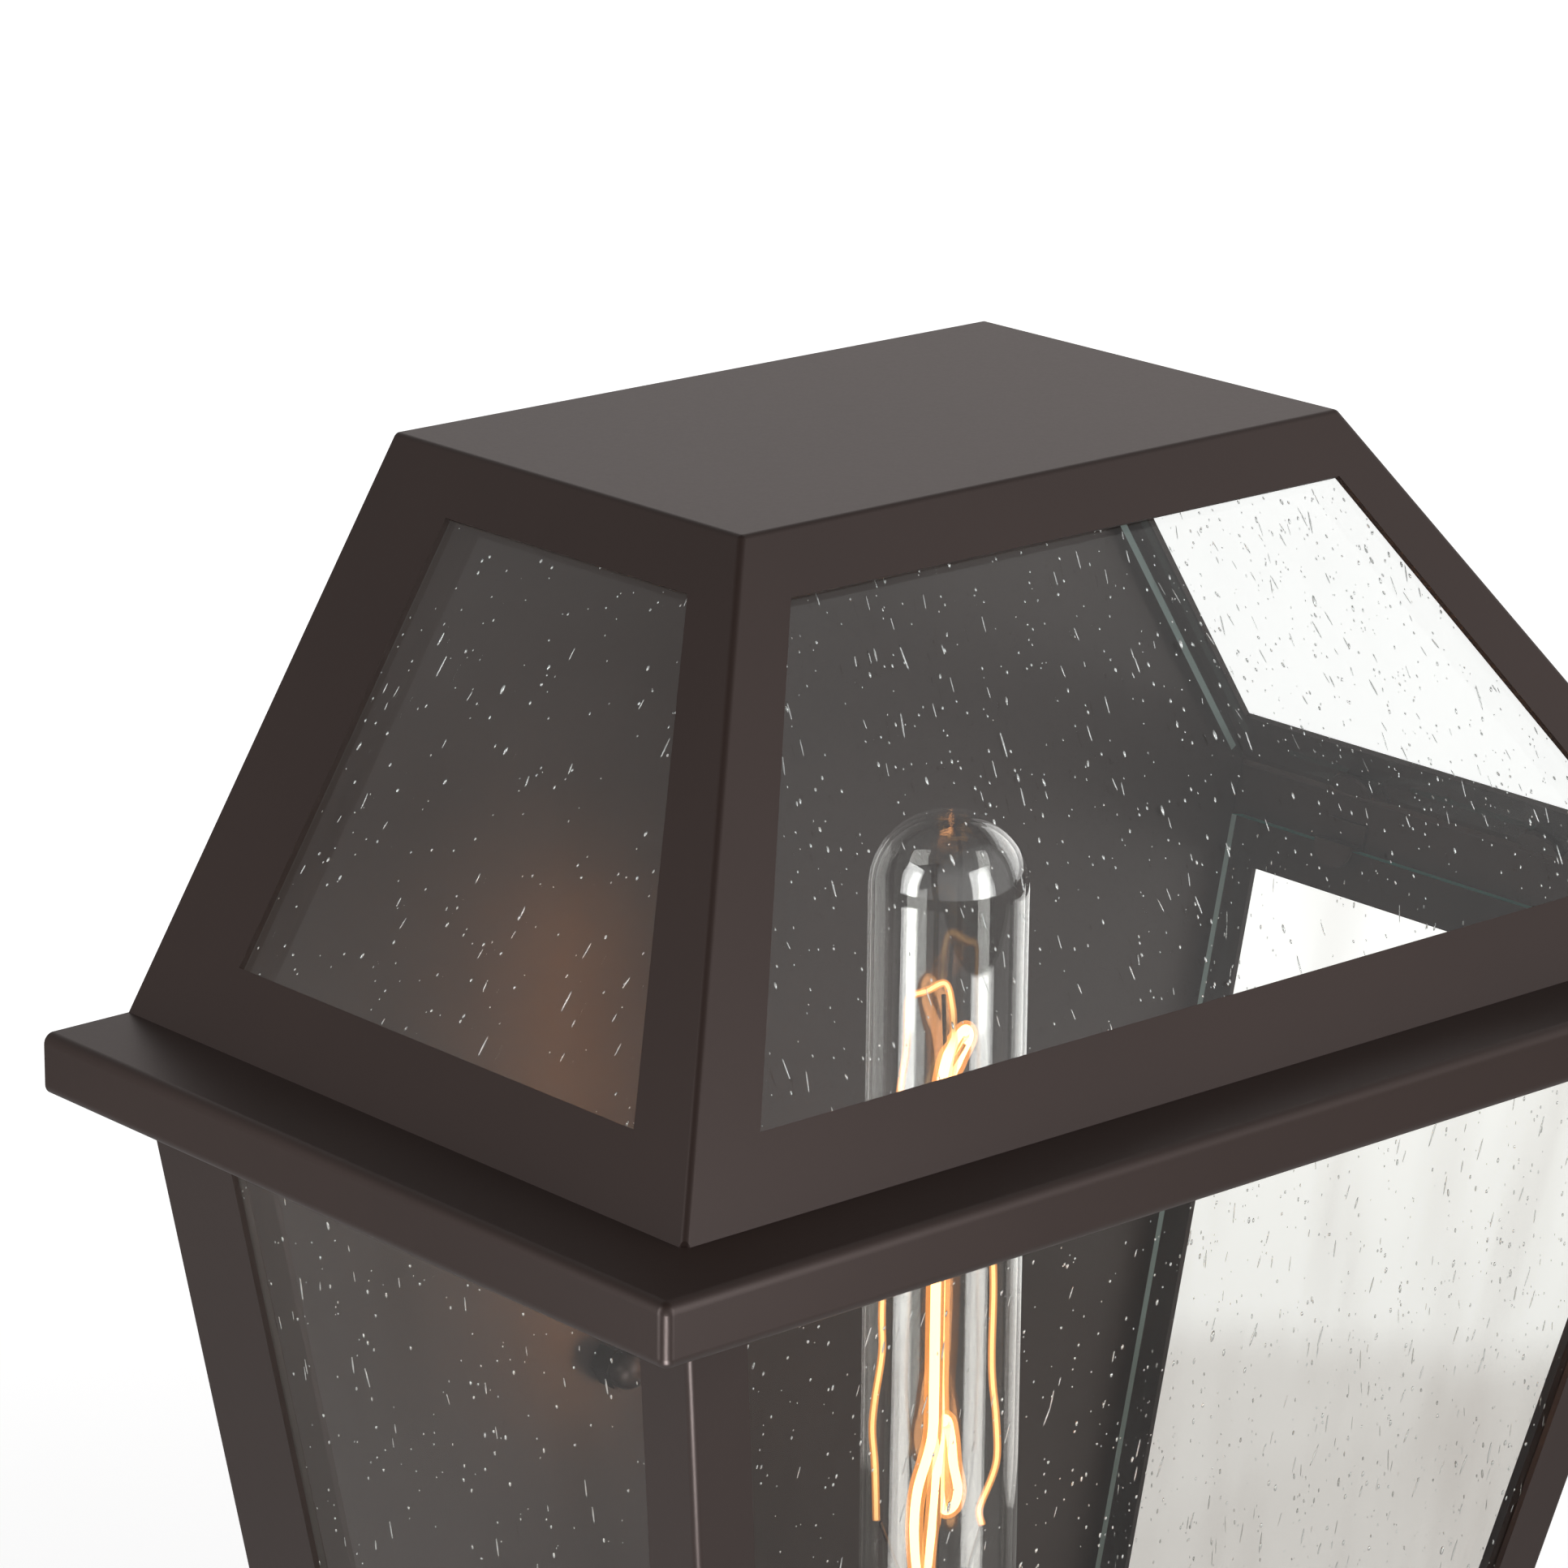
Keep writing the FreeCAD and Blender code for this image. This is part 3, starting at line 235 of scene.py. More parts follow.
# clear glass: what is behind shows straight through, and the mirror's share grows at a slant
glassLook = {
    "roof": {"tint": (0.992, 0.996, 0.992), "streakAndShadow": (0.95, 0.955, 0.95),
             "mirror": 0.030, "paintedShadow": 0.0},
    # body glass: a greyer tint than the roof's and a much darker streak tint, which is also the painted
    # shadow's tint; both stand in for the floor's shade seen through the lower panes
    "body": {"tint": (0.959, 0.960, 0.949), "streakAndShadow": (0.80, 0.783, 0.765),
             "mirror": 0.013, "paintedShadow": 0.70},
    # painted glow: upward-facing cut edges are a brighter green than the glass's own, for light carried
    # along the glass
    "paintedGlowTopEdge": (0.14, 0.56, 0.48),
    "sideEdge": (0.34, 0.44, 0.42),
    "edgeTurn": (0.4, 0.8),  # how far a face has to turn to count as a cut edge
    "edgeHalf": 0.0002,  # the side edges show on the inner half of the wall, with a step this wide
    "edgeRoughness": 0.2,
    "waveScale": 60,
    "waveStretch": (1, 1, 0.07),
    "waveRelief": (0.25, 0.0008),
    "mirrorRoughness": 0.03,
    "streakRange": (0.48, 0.72),
    "streakShare": 0.28,
    # painted shadow: the lower part of a body pane is greyer, below a line that rises towards the front,
    # for the floor's shade seen through it
    "paintedShadowAxis": (0.0, 0.245, 1.0),
    "paintedShadowHeights": (-0.026, -0.042),
    "paintedShadowWander": 0.012,
    "paintedShadowShare": {"left": 1.0, "front": 0.25, "right": 1.0},
}


# share of light that glass mirrors: least + (1 - least) * (1 - cosine of the slant) to the power of 5
def mirrorShare(start, least):
    facing = start.add("LayerWeight", {}, {"Blend": 0.5}, out="Facing")
    return facing ** 5 * (1 - least) + least


def paneSheet(start, place, glass, paintedShadow, look):  # clear, streaky and painted-shadow light through, and the mirror
    wave = place.noise(look["waveScale"], 2, look["waveStretch"])
    clear = start.add("BsdfTransparent", {}, {"Color": glass["tint"]})
    streakAndShadow = start.add("BsdfTransparent", {}, {"Color": glass["streakAndShadow"]})
    # painted shadow: below a wavering line the light through turns towards the darker streak tint,
    # standing in for the floor's shade
    wander = (wave - 0.5) * look["paintedShadowWander"]
    low = (place.along(look["paintedShadowAxis"]) + wander).step(*look["paintedShadowHeights"])
    streaky = wave.step(*look["streakRange"]) * look["streakShare"]
    through = (streaky + low * paintedShadow).blend(clear, streakAndShadow)
    mirror = start.add("BsdfGlossy", {}, {"Color": (1, 1, 1), "Roughness": look["mirrorRoughness"],
                                          "Normal": wave.bump(*look["waveRelief"])})
    return mirrorShare(start, glass["mirror"]).blend(through, mirror)


def paneGlass(name, pane, look):  # the sheet, with green cut edges
    material, start, place = newMaterial(name)
    part, _, side, _ = name.split()
    sheet = paneSheet(start, place, look[part], look[part]["paintedShadow"] * look["paintedShadowShare"][side], look)
    across, up, normal = (tuple(axis) for axis in pane["axes"])
    faceNormal = start.add("NewGeometry", out="True Normal")
    inside = start.add("NewGeometry", out="Backfacing")
    middle = float(pane["middle"] @ pane["axes"][2])
    innerHalf = 1 - (place.along(normal) - middle).step(-look["edgeHalf"], look["edgeHalf"])
    onTop = faceNormal.along(up).step(*look["edgeTurn"]) * (1 - inside)
    onSide = start.maths("ABSOLUTE", faceNormal.along(across)).step(*look["edgeTurn"]) * innerHalf
    # painted glow: the top edges take the brighter green
    cut = onTop.between(look["sideEdge"], look["paintedGlowTopEdge"])
    edge = start.add("BsdfPrincipled", {}, {"Base Color": cut, "Roughness": look["edgeRoughness"]})
    start.maths("MAXIMUM", onTop, onSide).blend(sheet, edge).finish()
    return material


lampGlassLook = {
    "tint": (0.985, 0.985, 0.98),
    "mirror": 0.052,
    "mirrorRoughness": 0.04,
    "waveScale": 40,
    "waveStretch": (1, 1, 0.2),
    "waveRelief": (0.1, 0.0005),
}


def lampGlass(name, look):
    material, start, place = newMaterial(name)
    wave = place.noise(look["waveScale"], 2, look["waveStretch"])
    clear = start.add("BsdfTransparent", {}, {"Color": look["tint"]})
    mirror = start.add("BsdfGlossy", {}, {"Color": (1, 1, 1), "Roughness": look["mirrorRoughness"],
                                          "Normal": wave.bump(*look["waveRelief"])})
    mirrorShare(start, look["mirror"]).blend(clear, mirror).finish()
    return material


finishes = {slot: solidFinish(slot.replace("_", " "), look, solidGrain)
            for slot, look in solidLooks.items()}
finishes["bronze_paint"] = satinPaint("satin bronze paint", paintLook)
finishes["lamp_glass"] = lampGlass("lamp glass", lampGlassLook)


def dress(node, material):
    slots = nodes[node].material_slots
    if not slots:
        nodes[node].data.materials.append(material)
    for slot in slots:
        slot.material = material


for part in frame["record"]["subparts"]:
    if part["material_slot"] in finishes:
        dress(part["node"], finishes[part["material_slot"]])
dress("back_pan", satinPaint("satin bronze pan", panLook))
print("solid finishes set")


# a pane's own frame, read from its solid: its middle, the axes across it, up its slope and outwards,
# its lowest and highest edge, how far these two reach sideways, and its two faces
def paneFrame(name):
    mesh = nodes[name].data
    points = np.empty(len(mesh.vertices) * 3)
    mesh.vertices.foreach_get("co", points)
    points = points.reshape(-1, 3)
    areas = np.empty(len(mesh.polygons))
    normals = np.empty(len(mesh.polygons) * 3)
    mesh.polygons.foreach_get("area", areas)
    mesh.polygons.foreach_get("normal", normals)
    normal = normals.reshape(-1, 3)[np.argmax(areas)]
    middle = (points.min(0) + points.max(0)) / 2
    outwards = np.array((middle[0], 0, 0) if abs(normal[0]) > abs(normal[1]) else (0, -1, 0))
    normal = normal * np.sign(normal @ outwards)
    up = np.array((0, 0, 1)) - normal * normal[2]
    up /= np.linalg.norm(up)
    across = np.cross(up, normal)
    local = (points - middle) @ np.stack((across, up, normal), 1)
    low, high = local[:, 1].min(), local[:, 1].max()
    foot = local[local[:, 1] < low + sameEdge, 0]
    head = local[local[:, 1] > high - sameEdge, 0]
    return {"middle": middle, "axes": np.stack((across, up, normal)), "low": low, "high": high,
            "foot": (foot.min(), foot.max()), "head": (head.min(), head.max()),
            "wall": (local[:, 2].min(), local[:, 2].max())}


sameEdge = 1e-4  # metres: points this near the lowest or highest one lie on the same edge
paneNames = [f"{part}_pane_{side}" for part in ("roof", "body") for side in ("left", "front", "right")]
panes = {name: paneFrame(name) for name in paneNames}
for name in paneNames:
    dress(name, paneGlass(name.replace("_", " ") + " glass", panes[name], glassLook))
print("panes glazed:", len(panes))


def addPiece(name, points, faces, material, body):
    mesh = bpy.data.meshes.new(name)
    mesh.from_pydata(points.reshape(-1, 3).tolist(), [], faces)
    mesh.polygons.foreach_set("use_smooth", np.ones(len(mesh.polygons), bool))
    mesh.materials.append(material)
    mesh.update()
    piece = bpy.data.objects.new(name, mesh)
    scene.collection.objects.link(piece)
    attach(piece, body)
    return piece


def gridFaces(rows, columns):  # quads of a grid whose columns close into a ring
    row, column = np.meshgrid(np.arange(rows - 1), np.arange(columns), indexing="ij")
    after = (column + 1) % columns
    here, above = row * columns, (row + 1) * columns
    corners = (here + column, here + after, above + after, above + column)
    return np.stack(corners, -1).reshape(-1, 4)


def fan(ring, pole, flip):  # triangles from a ring's points to one pole
    after = np.roll(ring, -1)
    pair = (after, ring) if flip else (ring, after)
    return np.stack((*pair, np.full(len(ring), pole)), -1)


# seeds: bubbles drawn out along the glass, as one mesh for each pane
seedLook = {
    "kinds": {  # how many on each square centimetre, and how long for their width
        "dots": {"density": 4.0, "width": (0.00016, 0.00047), "slim": (1.4, 3.2)},
        "streaks": {"density": 0.7, "width": (0.00017, 0.00034), "slim": (7, 18)},
        "bubbles": {"density": 0.08, "width": (0.00040, 0.00070), "slim": (2.6, 4.2)},
    },
    "sideShare": {"left": 0.6, "front": 1.0, "right": 0.9},
    "margin": (0.01, 0.99),  # where seeds lie, from edge to edge
    "wallShare": 0.35,
    "leanDegrees": 9,
    "leanDraw": (0.6, 0.6),  # mean and spread of the lean, in parts of leanDegrees
    "firstSeed": 7,  # of the random draws, one for each pane
    "rings": 3,
    "sides": 6,
    "grainScale": 2500,
    "shineShare": (0.38, 0.68),  # the rest is clear bead
    "shineTone": (0.95, 0.97, 0.96),
    "shineRoughness": 0.12,
    "beadIor": 1.38,
}
sqCmPerSqM = 1e4


def seedShape(look):  # unit ball, pole to pole along its first axis
    latitude = np.radians(np.linspace(-90, 90, look["rings"] + 2)[1:-1])
    around = np.arange(look["sides"]) * 2 * np.pi / look["sides"]
    along = np.repeat(np.sin(latitude)[:, None], look["sides"], 1)
    reach = np.cos(latitude)[:, None]
    rings = np.stack((along, reach * np.cos(around), reach * np.sin(around)), -1)
    points = np.concatenate((rings.reshape(-1, 3), ((-1, 0, 0), (1, 0, 0))))
    count = look["rings"] * look["sides"]
    first = np.arange(look["sides"])
    quads = gridFaces(look["rings"], look["sides"])
    last = first + count - look["sides"]
    ends = np.concatenate((fan(first, count, True), fan(last, count + 1, False)))
    return points, quads, ends


def seedMaterial(look):
    material, start, place = newMaterial("glass seeds")
    grain = place.noise(look["grainScale"], 1)
    bead = start.add("BsdfGlass", {}, {"Color": (1, 1, 1), "Roughness": 0.0, "IOR": look["beadIor"]})
    shine = start.add("BsdfGlossy", {}, {
        "Color": look["shineTone"], "Roughness": look["shineRoughness"]})
    least, most = look["shineShare"]
    (grain * (most - least) + least).blend(bead, shine).finish()
    return material


def seedSizes(draw, area, look):  # width and length of every seed on a pane
    widths, lengths = [], []
    for kind in look["kinds"].values():
        count = int(area * kind["density"])
        width = kind["width"][0] + np.ptp(kind["width"]) * draw.uniform(0, 1, count) ** 2
        widths.append(width)
        lengths.append(width * draw.uniform(*kind["slim"], count))
    return np.concatenate(widths)[:, None], np.concatenate(lengths)[:, None]


def seedPlaces(draw, pane, count, look):  # spread over the pane's outline, inside its thickness
    height = draw.uniform(*look["margin"], count)
    left = pane["foot"][0] + (pane["head"][0] - pane["foot"][0]) * height
    right = pane["foot"][1] + (pane["head"][1] - pane["foot"][1]) * height
    across = left + (right - left) * draw.uniform(*look["margin"], count)
    spread = np.ptp(pane["wall"]) * look["wallShare"] * draw.uniform(-1, 1, count)
    rise = pane["low"] + (pane["high"] - pane["low"]) * height
    return pane["middle"] + np.stack((across, rise, np.mean(pane["wall"]) + spread), -1) @ pane["axes"]


# every seed is the unit ball, stretched along, beside and through the glass and set at its place
def makeSeeds(name, pane, look, material, seed):
    draw = np.random.default_rng(seed)
    span = (np.ptp(pane["foot"]) + np.ptp(pane["head"])) / 2
    squareCm = span * (pane["high"] - pane["low"]) * sqCmPerSqM
    width, length = seedSizes(draw, squareCm * look["sideShare"][name.split("_")[-1]], look)
    centres = seedPlaces(draw, pane, len(width), look)
    lean = np.radians(look["leanDegrees"]) * draw.normal(*look["leanDraw"], len(width))[:, None]
    sideways, up, normal = pane["axes"]
    along = np.cos(lean) * up + np.sin(lean) * sideways
    axes = np.stack((along * length, np.cross(normal, along) * width, normal * width), 1) / 2
    unit, quads, ends = seedShape(look)
    points = centres[:, None] + unit @ axes
    shift = np.arange(len(width))[:, None, None] * len(unit)
    faces = (quads + shift).reshape(-1, 4).tolist() + (ends + shift).reshape(-1, 3).tolist()
    addPiece(name, points, faces, material, "lantern")
    return len(width)


seedGlass = seedMaterial(seedLook)
seedCount = sum(makeSeeds(name.replace("pane", "seeds"), panes[name], seedLook, seedGlass, seed)
                for seed, name in enumerate(paneNames, seedLook["firstSeed"]))
print("seeds in the glass:", seedCount)


# lamp: heights count from its lower tip, sideways runs in the plane that the filament hangs in
lampSpot = {
    "axis": (0.0, -0.0703),
    "foot": -0.1091,
    "turnDegrees": -43.0,
}


def lampPoints(local):  # across, depth and height to the row frame
    turn = math.radians(lampSpot["turnDegrees"])
    across, depth, height = np.asarray(local, float).T
    return np.stack((across * math.cos(turn) - depth * math.sin(turn) + lampSpot["axis"][0],
                     across * math.sin(turn) + depth * math.cos(turn) + lampSpot["axis"][1],
                     height + lampSpot["foot"]), -1)


# a cubic through the points, each span in equal steps: at a point, its slope is half the way from the
# point before to the point after
def smoothPath(points, each):
    points = np.asarray(points, float)
    padded = np.concatenate((2 * points[:1] - points[1:2], points, 2 * points[-1:] - points[-2:-1]))
    share = np.linspace(0, 1, each, endpoint=False)[None, :, None]
    a, b, c, d = (padded[i:len(padded) - 3 + i, None, :] for i in range(4))
    straight, bend, twist = c - a, 2 * a - 5 * b + 4 * c - d, 3 * b - a - 3 * c + d
    spans = b + (share * straight + share ** 2 * bend + share ** 3 * twist) / 2
    return np.concatenate((spans.reshape(-1, points.shape[1]), points[-1:]))


def tube(path, radius, sides, reference):  # a ring square to the path at each point, and two end points
    along = np.gradient(path, axis=0)
    along /= np.linalg.norm(along, axis=1, keepdims=True)
    first = np.cross(along, reference)
    first /= np.linalg.norm(first, axis=1, keepdims=True)
    second = np.cross(along, first)
    angle = np.arange(sides) * 2 * np.pi / sides
    radius = np.broadcast_to(radius, len(path))[:, None, None]
    spokes = first[:, None] * np.cos(angle)[:, None] + second[:, None] * np.sin(angle)[:, None]
    rings = path[:, None] + radius * spokes
    points = np.concatenate((rings.reshape(-1, 3), path[:1], path[-1:]))
    count = len(path) * sides
    ring = np.arange(sides)
    faces = gridFaces(len(path), sides).tolist()
    faces += fan(ring, count, True).tolist() + fan(ring + count - sides, count + 1, False).tolist()
    return points, faces


filamentLook = {
    # across, depth, height and glow at each point of the wire
    "route": [
        (-0.0117, 0.0, 0.0845, 0.20), (-0.0121, 0.0, 0.0952, 0.29), (-0.0127, 0.0, 0.1028, 0.30),
        (-0.0123, 0.0, 0.1090, 0.30), (-0.0111, 0.0, 0.1186, 0.30), (-0.0112, 0.0, 0.1281, 0.30),
        (-0.0104, 0.0, 0.1500, 0.25), (-0.0085, 0.0, 0.1702, 0.30), (-0.0074, 0.0, 0.1793, 0.22),
        (-0.0073, 0.0, 0.1875, 0.22), (-0.0064, 0.0, 0.1893, 0.28), (-0.0038, 0.0, 0.1903, 0.33),
        (-0.0004, -0.0004, 0.1919, 0.33), (0.0009, -0.0010, 0.1877, 0.27),
        (0.0012, -0.0018, 0.1840, 0.18), (0.0012, -0.0022, 0.1815, 0.50),
        (0.0003, -0.0025, 0.1786, 1.00), (-0.0005, -0.0025, 0.1750, 1.00),
        (-0.0009, -0.0025, 0.1700, 1.00), (-0.0011, -0.0025, 0.1500, 1.00),
        (-0.0012, -0.0025, 0.1310, 1.00), (-0.0012, -0.0025, 0.1120, 1.00),
        (-0.0013, -0.0025, 0.1040, 1.00), (-0.0021, -0.0025, 0.0992, 0.97),
        (-0.0040, -0.0025, 0.0916, 0.95), (-0.0045, -0.0025, 0.0838, 0.92),
        (-0.0039, -0.0020, 0.0750, 0.88), (-0.0029, -0.0008, 0.0712, 0.82),
        (-0.0019, 0.0, 0.0745, 0.78), (-0.0014, 0.0002, 0.0800, 0.82),
        (-0.0006, 0.0002, 0.0903, 0.90), (-0.0002, 0.0004, 0.0980, 1.00),
        (0.0004, 0.0008, 0.1040, 1.00), (0.0013, 0.0012, 0.1045, 1.00),
        (0.0021, 0.0014, 0.1010, 0.95), (0.0027, 0.0016, 0.0955, 0.92),
        (0.0036, 0.0018, 0.0904, 0.90), (0.0029, 0.0020, 0.0868, 0.88),
        (0.0010, 0.0024, 0.0858, 0.85), (0.0002, 0.0026, 0.0900, 0.90),
        (0.0001, 0.0026, 0.1000, 1.00), (-0.0003, 0.0025, 0.1120, 1.00),
        (-0.0004, 0.0025, 0.1310, 1.00), (-0.0001, 0.0025, 0.1500, 1.00),
        (0.0007, 0.0025, 0.1705, 1.00), (0.0021, 0.0022, 0.1758, 0.95),
        (0.0040, 0.0016, 0.1805, 0.90), (0.0037, 0.0010, 0.1826, 0.90),
        (0.0026, 0.0006, 0.1820, 0.90), (0.0011, 0.0004, 0.1795, 0.92),
        (0.0004, 0.0002, 0.1755, 0.90), (0.0008, 0.0, 0.1700, 0.60), (0.0045, 0.0, 0.1600, 0.30),
        (0.0082, 0.0, 0.1480, 0.28), (0.0095, 0.0, 0.1347, 0.30), (0.0095, 0.0, 0.1190, 0.30),
        (0.0098, 0.0, 0.1126, 0.30), (0.0105, 0.0, 0.1064, 0.30), (0.0109, 0.0, 0.0988, 0.30),
        (0.0102, 0.0, 0.0944, 0.30), (0.0081, 0.0, 0.0885, 0.31), (0.0077, 0.0, 0.0863, 0.31),
        (0.0083, 0.0, 0.0840, 0.28)],
    "steps": 10,
    "sides": 10,
    "radius": (0.00036, 0.00095),  # side strands, middle strands
    "haloRadius": (0.00072, 0.00185),
    "hot": (1.0, 0.42, 0.155),
    "warm": (1.0, 0.65, 0.26),
    "haloTone": (1.0, 0.38, 0.10),
    "strength": 9.6,
    "haloStrength": 2.2,
    "haloAlpha": 0.28,
    "haloGain": 3,  # a third of the full glow already gives the full fringe
    "leastGlow": 0.02,
    "hotFrom": 0.4,
    "contrast": 1.25,
    "cold": (0.02, 0.01, 0.005),
    "roughness": 0.6,
    "lean": 0.02,  # keeps the rings' reference off the wire's own direction
}


def glowMaterial(name, look, strength, alpha):
    material, start, _ = newMaterial(name)
    glow = start.add("VertexColor", {"layer_name": "glow"}, out="Color")
    start.add("BsdfPrincipled", {}, {
        "Base Color": look["cold"], "Roughness": look["roughness"], "Alpha": alpha,
        "Emission Color": glow, "Emission Strength": strength}).finish()
    return material


def paintGlow(piece, colours, sides):  # one colour for each ring of the tube and each of its end points
    colours = np.concatenate((np.repeat(colours, sides, 0), colours[:1], colours[-1:]))
    layer = piece.data.color_attributes.new("glow", "FLOAT_COLOR", "POINT")
    layer.data.foreach_set("color", np.concatenate((colours, np.ones((len(colours), 1))), 1).ravel())


def glowTube(name, path, width, look, material, colours):
    turn = math.radians(lampSpot["turnDegrees"])
    reference = np.array((-math.sin(turn), math.cos(turn), look["lean"]))  # square to the strands' plane
    points, faces = tube(path, width, look["sides"], reference)
    piece = addPiece(name, points, faces, material, "lamp")
    paintGlow(piece, colours, look["sides"])
    return piece


def makeFilament(look):
    route = smoothPath(look["route"], look["steps"])
    path = lampPoints(route[:, :3])
    share = np.clip(route[:, 3:], look["leastGlow"], 1)
    hot = np.clip((share - look["hotFrom"]) / (1 - look["hotFrom"]), 0, 1)
    wireWidth = look["radius"][0] + np.ptp(look["radius"]) * hot[:, 0]
    wireTone = np.array(look["warm"]) * (1 - hot) + np.array(look["hot"]) * hot
    wireTone *= share ** look["contrast"]
    wireGlow = glowMaterial("glowing filament", look, look["strength"], 1.0)
    wire = glowTube("filament_wire", path, wireWidth, look, wireGlow, wireTone)
    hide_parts("filament")
    haloWidth = look["haloRadius"][0] + np.ptp(look["haloRadius"]) * hot[:, 0]
    haloTone = np.array(look["haloTone"]) * np.clip(share * look["haloGain"], 0, 1)
    haloGlow = glowMaterial("filament glow", look, look["haloStrength"], look["haloAlpha"])
    glowTube("filament_glow", path, haloWidth, look, haloGlow, haloTone)


makeFilament(filamentLook)
print("filament lit")


# screw cap of the lamp: a ring profile whose outer side rises and falls with height less turn
capLook = {
    "low": 0.0066, "high": 0.0265, "radius": 0.0130, "depth": 0.00055, "pitch": 0.00363,
    "inner": 0.01235, "mouth": 0.0119, "bevel": 0.0016, "leastWall": 0.0001, "around": 72, "rows": 110,
}


def makeCap(look):
    angle = np.arange(look["around"]) * 2 * np.pi / look["around"]
    rise = np.linspace(look["low"], look["high"], look["rows"])[:, None]
    fadeIn = np.clip((rise - look["low"] - look["bevel"]) / look["pitch"], 0, 1)
    fadeOut = np.clip((look["high"] - rise) / look["pitch"], 0, 1)
    thread = 0.5 - 0.5 * np.cos(2 * np.pi * rise / look["pitch"] - angle)
    outer = look["radius"] - look["depth"] * thread * fadeIn * fadeOut
    cone = np.clip((rise - look["low"]) / look["bevel"], 0, 1)
    outer = look["mouth"] + (outer - look["mouth"]) * np.sqrt(cone)
    inner = np.minimum(look["inner"], outer - look["leastWall"])[::-1]
    radius = np.concatenate((outer, inner, outer[:1]))
    height = np.concatenate((rise, rise[::-1], rise[:1]))
    points = np.stack((radius * np.cos(angle) + lampSpot["axis"][0],
                       radius * np.sin(angle) + lampSpot["axis"][1],
                       np.broadcast_to(height + lampSpot["foot"], radius.shape)), -1)
    faces = gridFaces(len(points), look["around"])
    last = (len(points) - 1) * look["around"]
    faces = np.where(faces >= last, faces - last, faces).tolist()
    cap = addPiece("bulb_screw_cap", points[:-1], faces, finishes["nickel_cap"], "lamp")
    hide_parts("bulb_cap")


makeCap(capLook)
print("lamp cap threaded")


# studio: two soft boxes beside the camera, tall strips that only show in gloss, bright walls and a
# pale floor
studio = {
    "front": {"towards": (0.3, -0.95, 0.0), "edges": (-0.5, 0.8)},
    "right": {"towards": (0.85, 0.53, 0.0), "edges": (0.60, 1.10)},
    "overhead": {"towards": (0.0, 0.0, 1.0), "edges": (0.5, 0.9)},
    "wallsDim": 0.34,  # behind the object
    "wallsBright": 0.86,  # in front of it and to its right
    "ceilingShade": 0.75,  # how much darker it is overhead
    "mirrorLift": 0.04,  # what gloss sees beyond that
    "rightTone": (1.0, 0.91, 0.88),
    "floorLevel": -0.1965,
    "floorSize": 12.0,
    "floorTone": (0.80, 0.80, 0.80),
    # the floor's glow is weaker near the object: painted shade round it, on top of its real shadow
    "floorGlow": (0.64, 0.88),  # near the object, and beyond it
    "floorNear": (0.35, 0.90),  # metres between which the one turns into the other
    "floorShine": 0.06,
    "aim": (0.0, -0.07),  # a lamp with no aim of its own points here, level
    # gloss lamps only show as highlights; onlyOn names the finish that a lamp is kept to
    "lamps": {
        "softBoxLeft": {"place": (-0.55, 0.00, 0.16), "size": (0.12, 0.54), "watts": 1.32},
        "softBoxFront": {"place": (0.08, -0.62, 0.16), "size": (0.12, 0.54), "watts": 1.3},
        "floorCard": {"place": (-0.42, -0.47, -0.185), "size": (0.11, 0.70), "watts": 8.5, "gloss": True,
                      "aim": (-0.41, -0.46, 0.1), "onlyOn": "bronze_paint"},
        "stripLeft": {"place": (-0.311, 0.007, 0.08), "size": (0.175, 0.54), "watts": 2.1,
                      "gloss": True, "onlyOn": "lamp_glass"},
        "stripFront": {"place": (0.042, -0.387, 0.08), "size": (0.19, 0.54), "watts": 1.95,
                       "gloss": True, "onlyOn": "lamp_glass"},
        "stripRight": {"place": (0.400, -0.052, 0.08), "size": (0.33, 0.54), "watts": 1.2,
                       "gloss": True, "onlyOn": "lamp_glass"},
    },
}


def rayIs(start, kind):
    return start.add("LightPath", out=f"Is {kind} Ray")


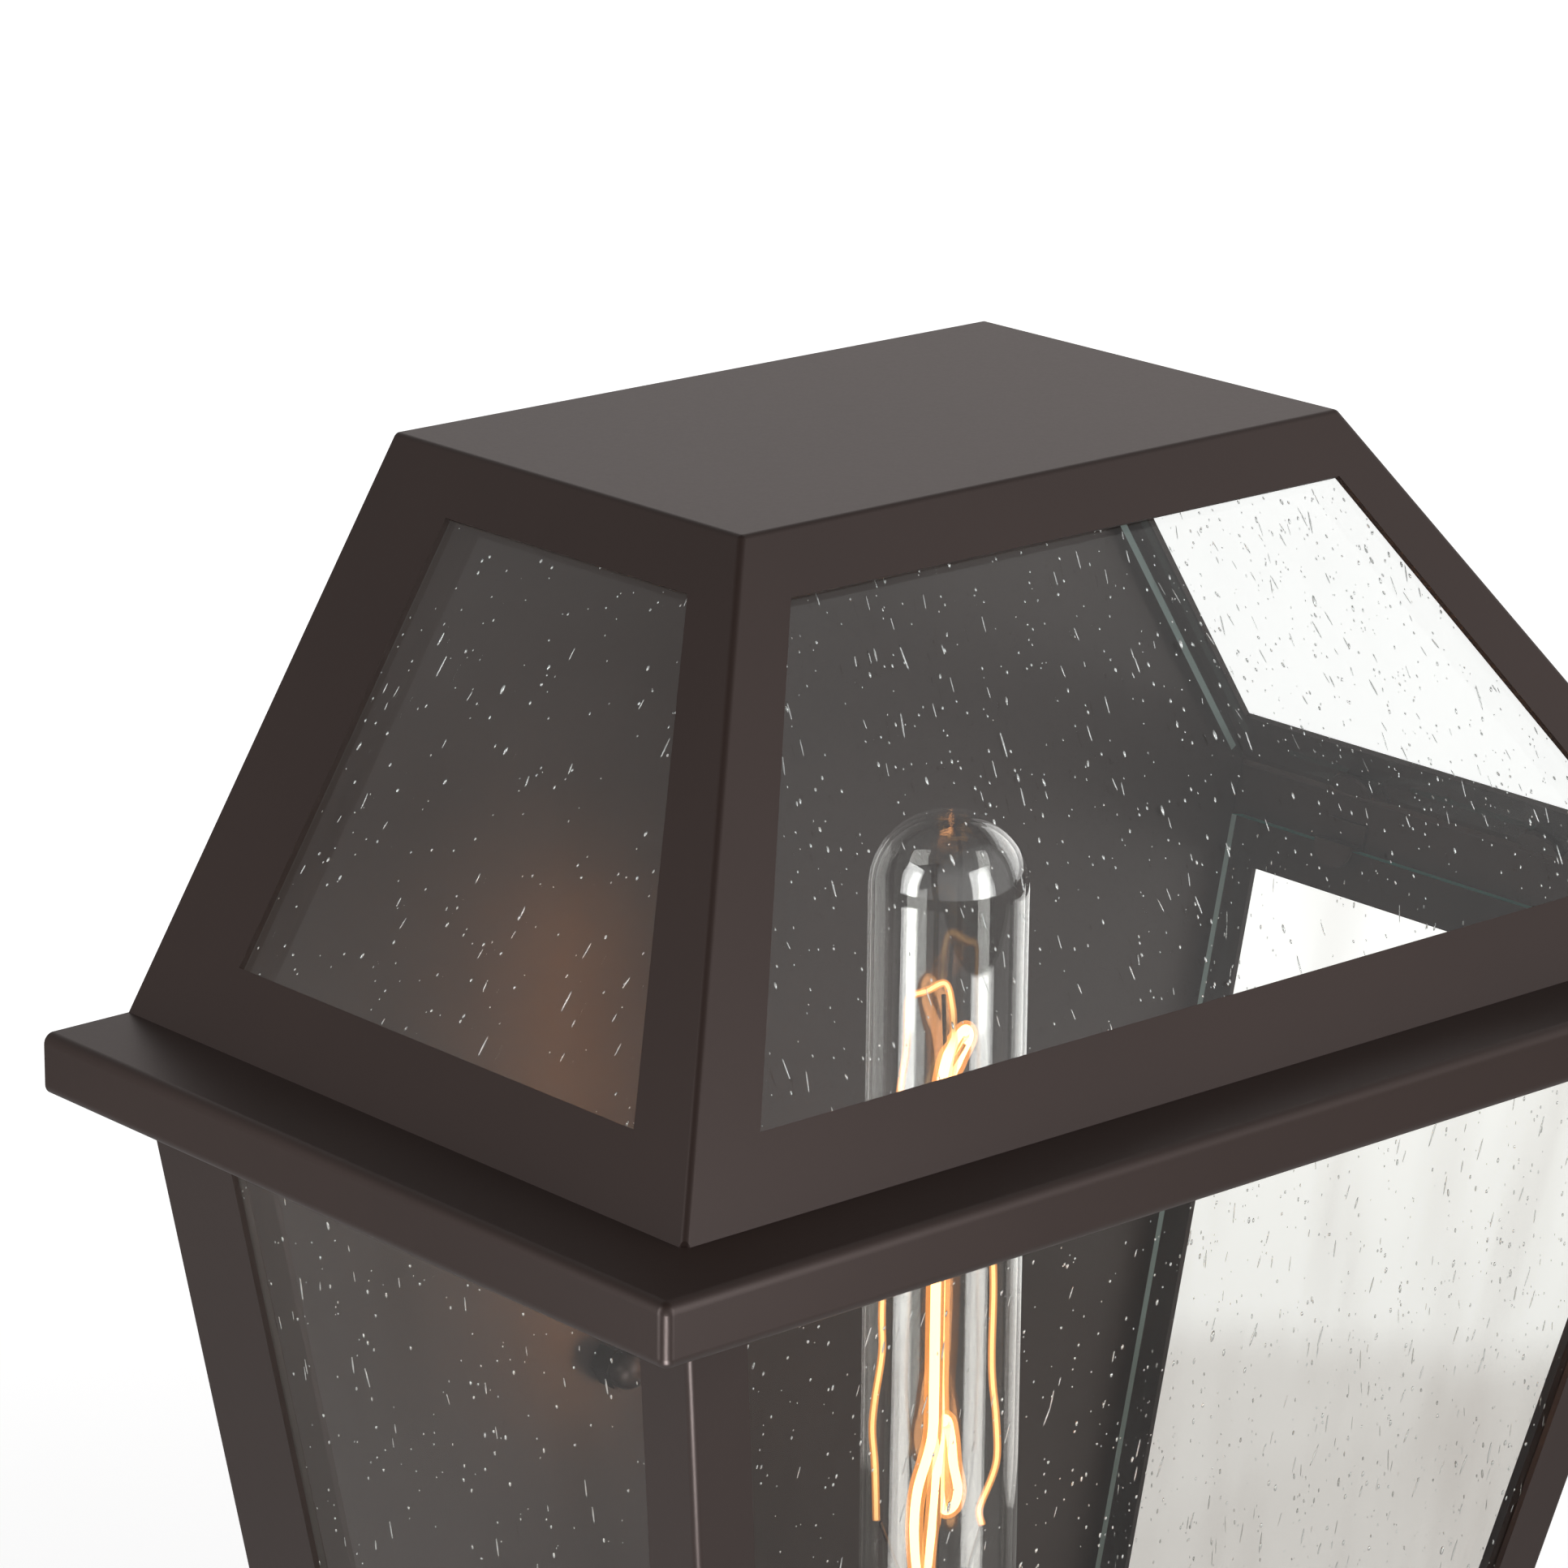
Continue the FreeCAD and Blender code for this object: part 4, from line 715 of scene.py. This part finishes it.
def makeWorld(look):
    world = bpy.data.worlds.new("studio")
    world.use_nodes = True
    world.node_tree.nodes.clear()
    start = Wire(world.node_tree)
    towards = start.add("TexCoord", out="Generated")
    front, right, overhead = (
        towards.along(look[part]["towards"]).step(*look[part]["edges"])
        for part in ("front", "right", "overhead"))
    bright = start.maths("MAXIMUM", front, right)
    sides = bright * (look["wallsBright"] - look["wallsDim"]) + look["wallsDim"]
    walls = sides * (1 - overhead * look["ceilingShade"]) + rayIs(start, "Glossy") * look["mirrorLift"]
    seen = rayIs(start, "Camera") + rayIs(start, "Transmission")
    tone = (right * (1 - seen)).between((1, 1, 1), look["rightTone"])
    sky = start.add("Background", {}, {"Color": tone, "Strength": seen + (1 - seen) * walls})
    sky.add("OutputWorld", {}, {"Surface": sky})
    scene.world = world


def makeFloor(look):
    half = look["floorSize"] / 2
    mesh = bpy.data.meshes.new("floor")
    corners = ((-half, -half), (half, -half), (half, half), (-half, half))
    mesh.from_pydata([(*corner, look["floorLevel"]) for corner in corners], [], [(0, 1, 2, 3)])
    floor = bpy.data.objects.new("floor", mesh)
    scene.collection.objects.link(floor)
    material, start, place = newMaterial("pale floor")
    seen = rayIs(start, "Camera") + rayIs(start, "Transmission")
    near, far = look["floorGlow"]
    distance = start.add("VectorMath", {"operation": "LENGTH"}, {0: place}, out="Value")
    # weaker glow near the object: painted shade round it
    shown = distance.step(*look["floorNear"]) * (far - near) + near
    level = seen * shown + rayIs(start, "Glossy") * look["floorShine"]
    matt = start.add("BsdfDiffuse", {}, {"Color": look["floorTone"]})
    glow = start.add("Emission", {}, {"Color": (1, 1, 1), "Strength": level})
    start.add("AddShader", {}, {0: matt, 1: glow}).finish()
    mesh.materials.append(material)


def keepTo(light, slot):  # the light falls only on the nodes of one finish
    group = bpy.data.collections.new(light.name + " receivers")
    for part in frame["record"]["subparts"]:
        if part["material_slot"] == slot:
            group.objects.link(nodes[part["node"]])
    light.light_linking.receiver_collection = group


def makeLamps(look):
    for name, lamp in look["lamps"].items():
        data = bpy.data.lights.new(name, "AREA")
        data.shape = "RECTANGLE"
        data.size, data.size_y = lamp["size"]
        data.energy = lamp["watts"]
        light = bpy.data.objects.new(name, data)
        light.location = lamp["place"]
        level = (*look["aim"], lamp["place"][2])
        towards = Vector(lamp.get("aim", level)) - Vector(lamp["place"])
        light.rotation_euler = towards.to_track_quat("-Z", "Y").to_euler()
        light.visible_camera = False
        light.visible_diffuse = "gloss" not in lamp
        scene.collection.objects.link(light)
        if "onlyOn" in lamp:
            keepTo(light, lamp["onlyOn"])


makeWorld(studio)
makeFloor(studio)
makeLamps(studio)
print("studio ready")

bpy.context.view_layer.update()
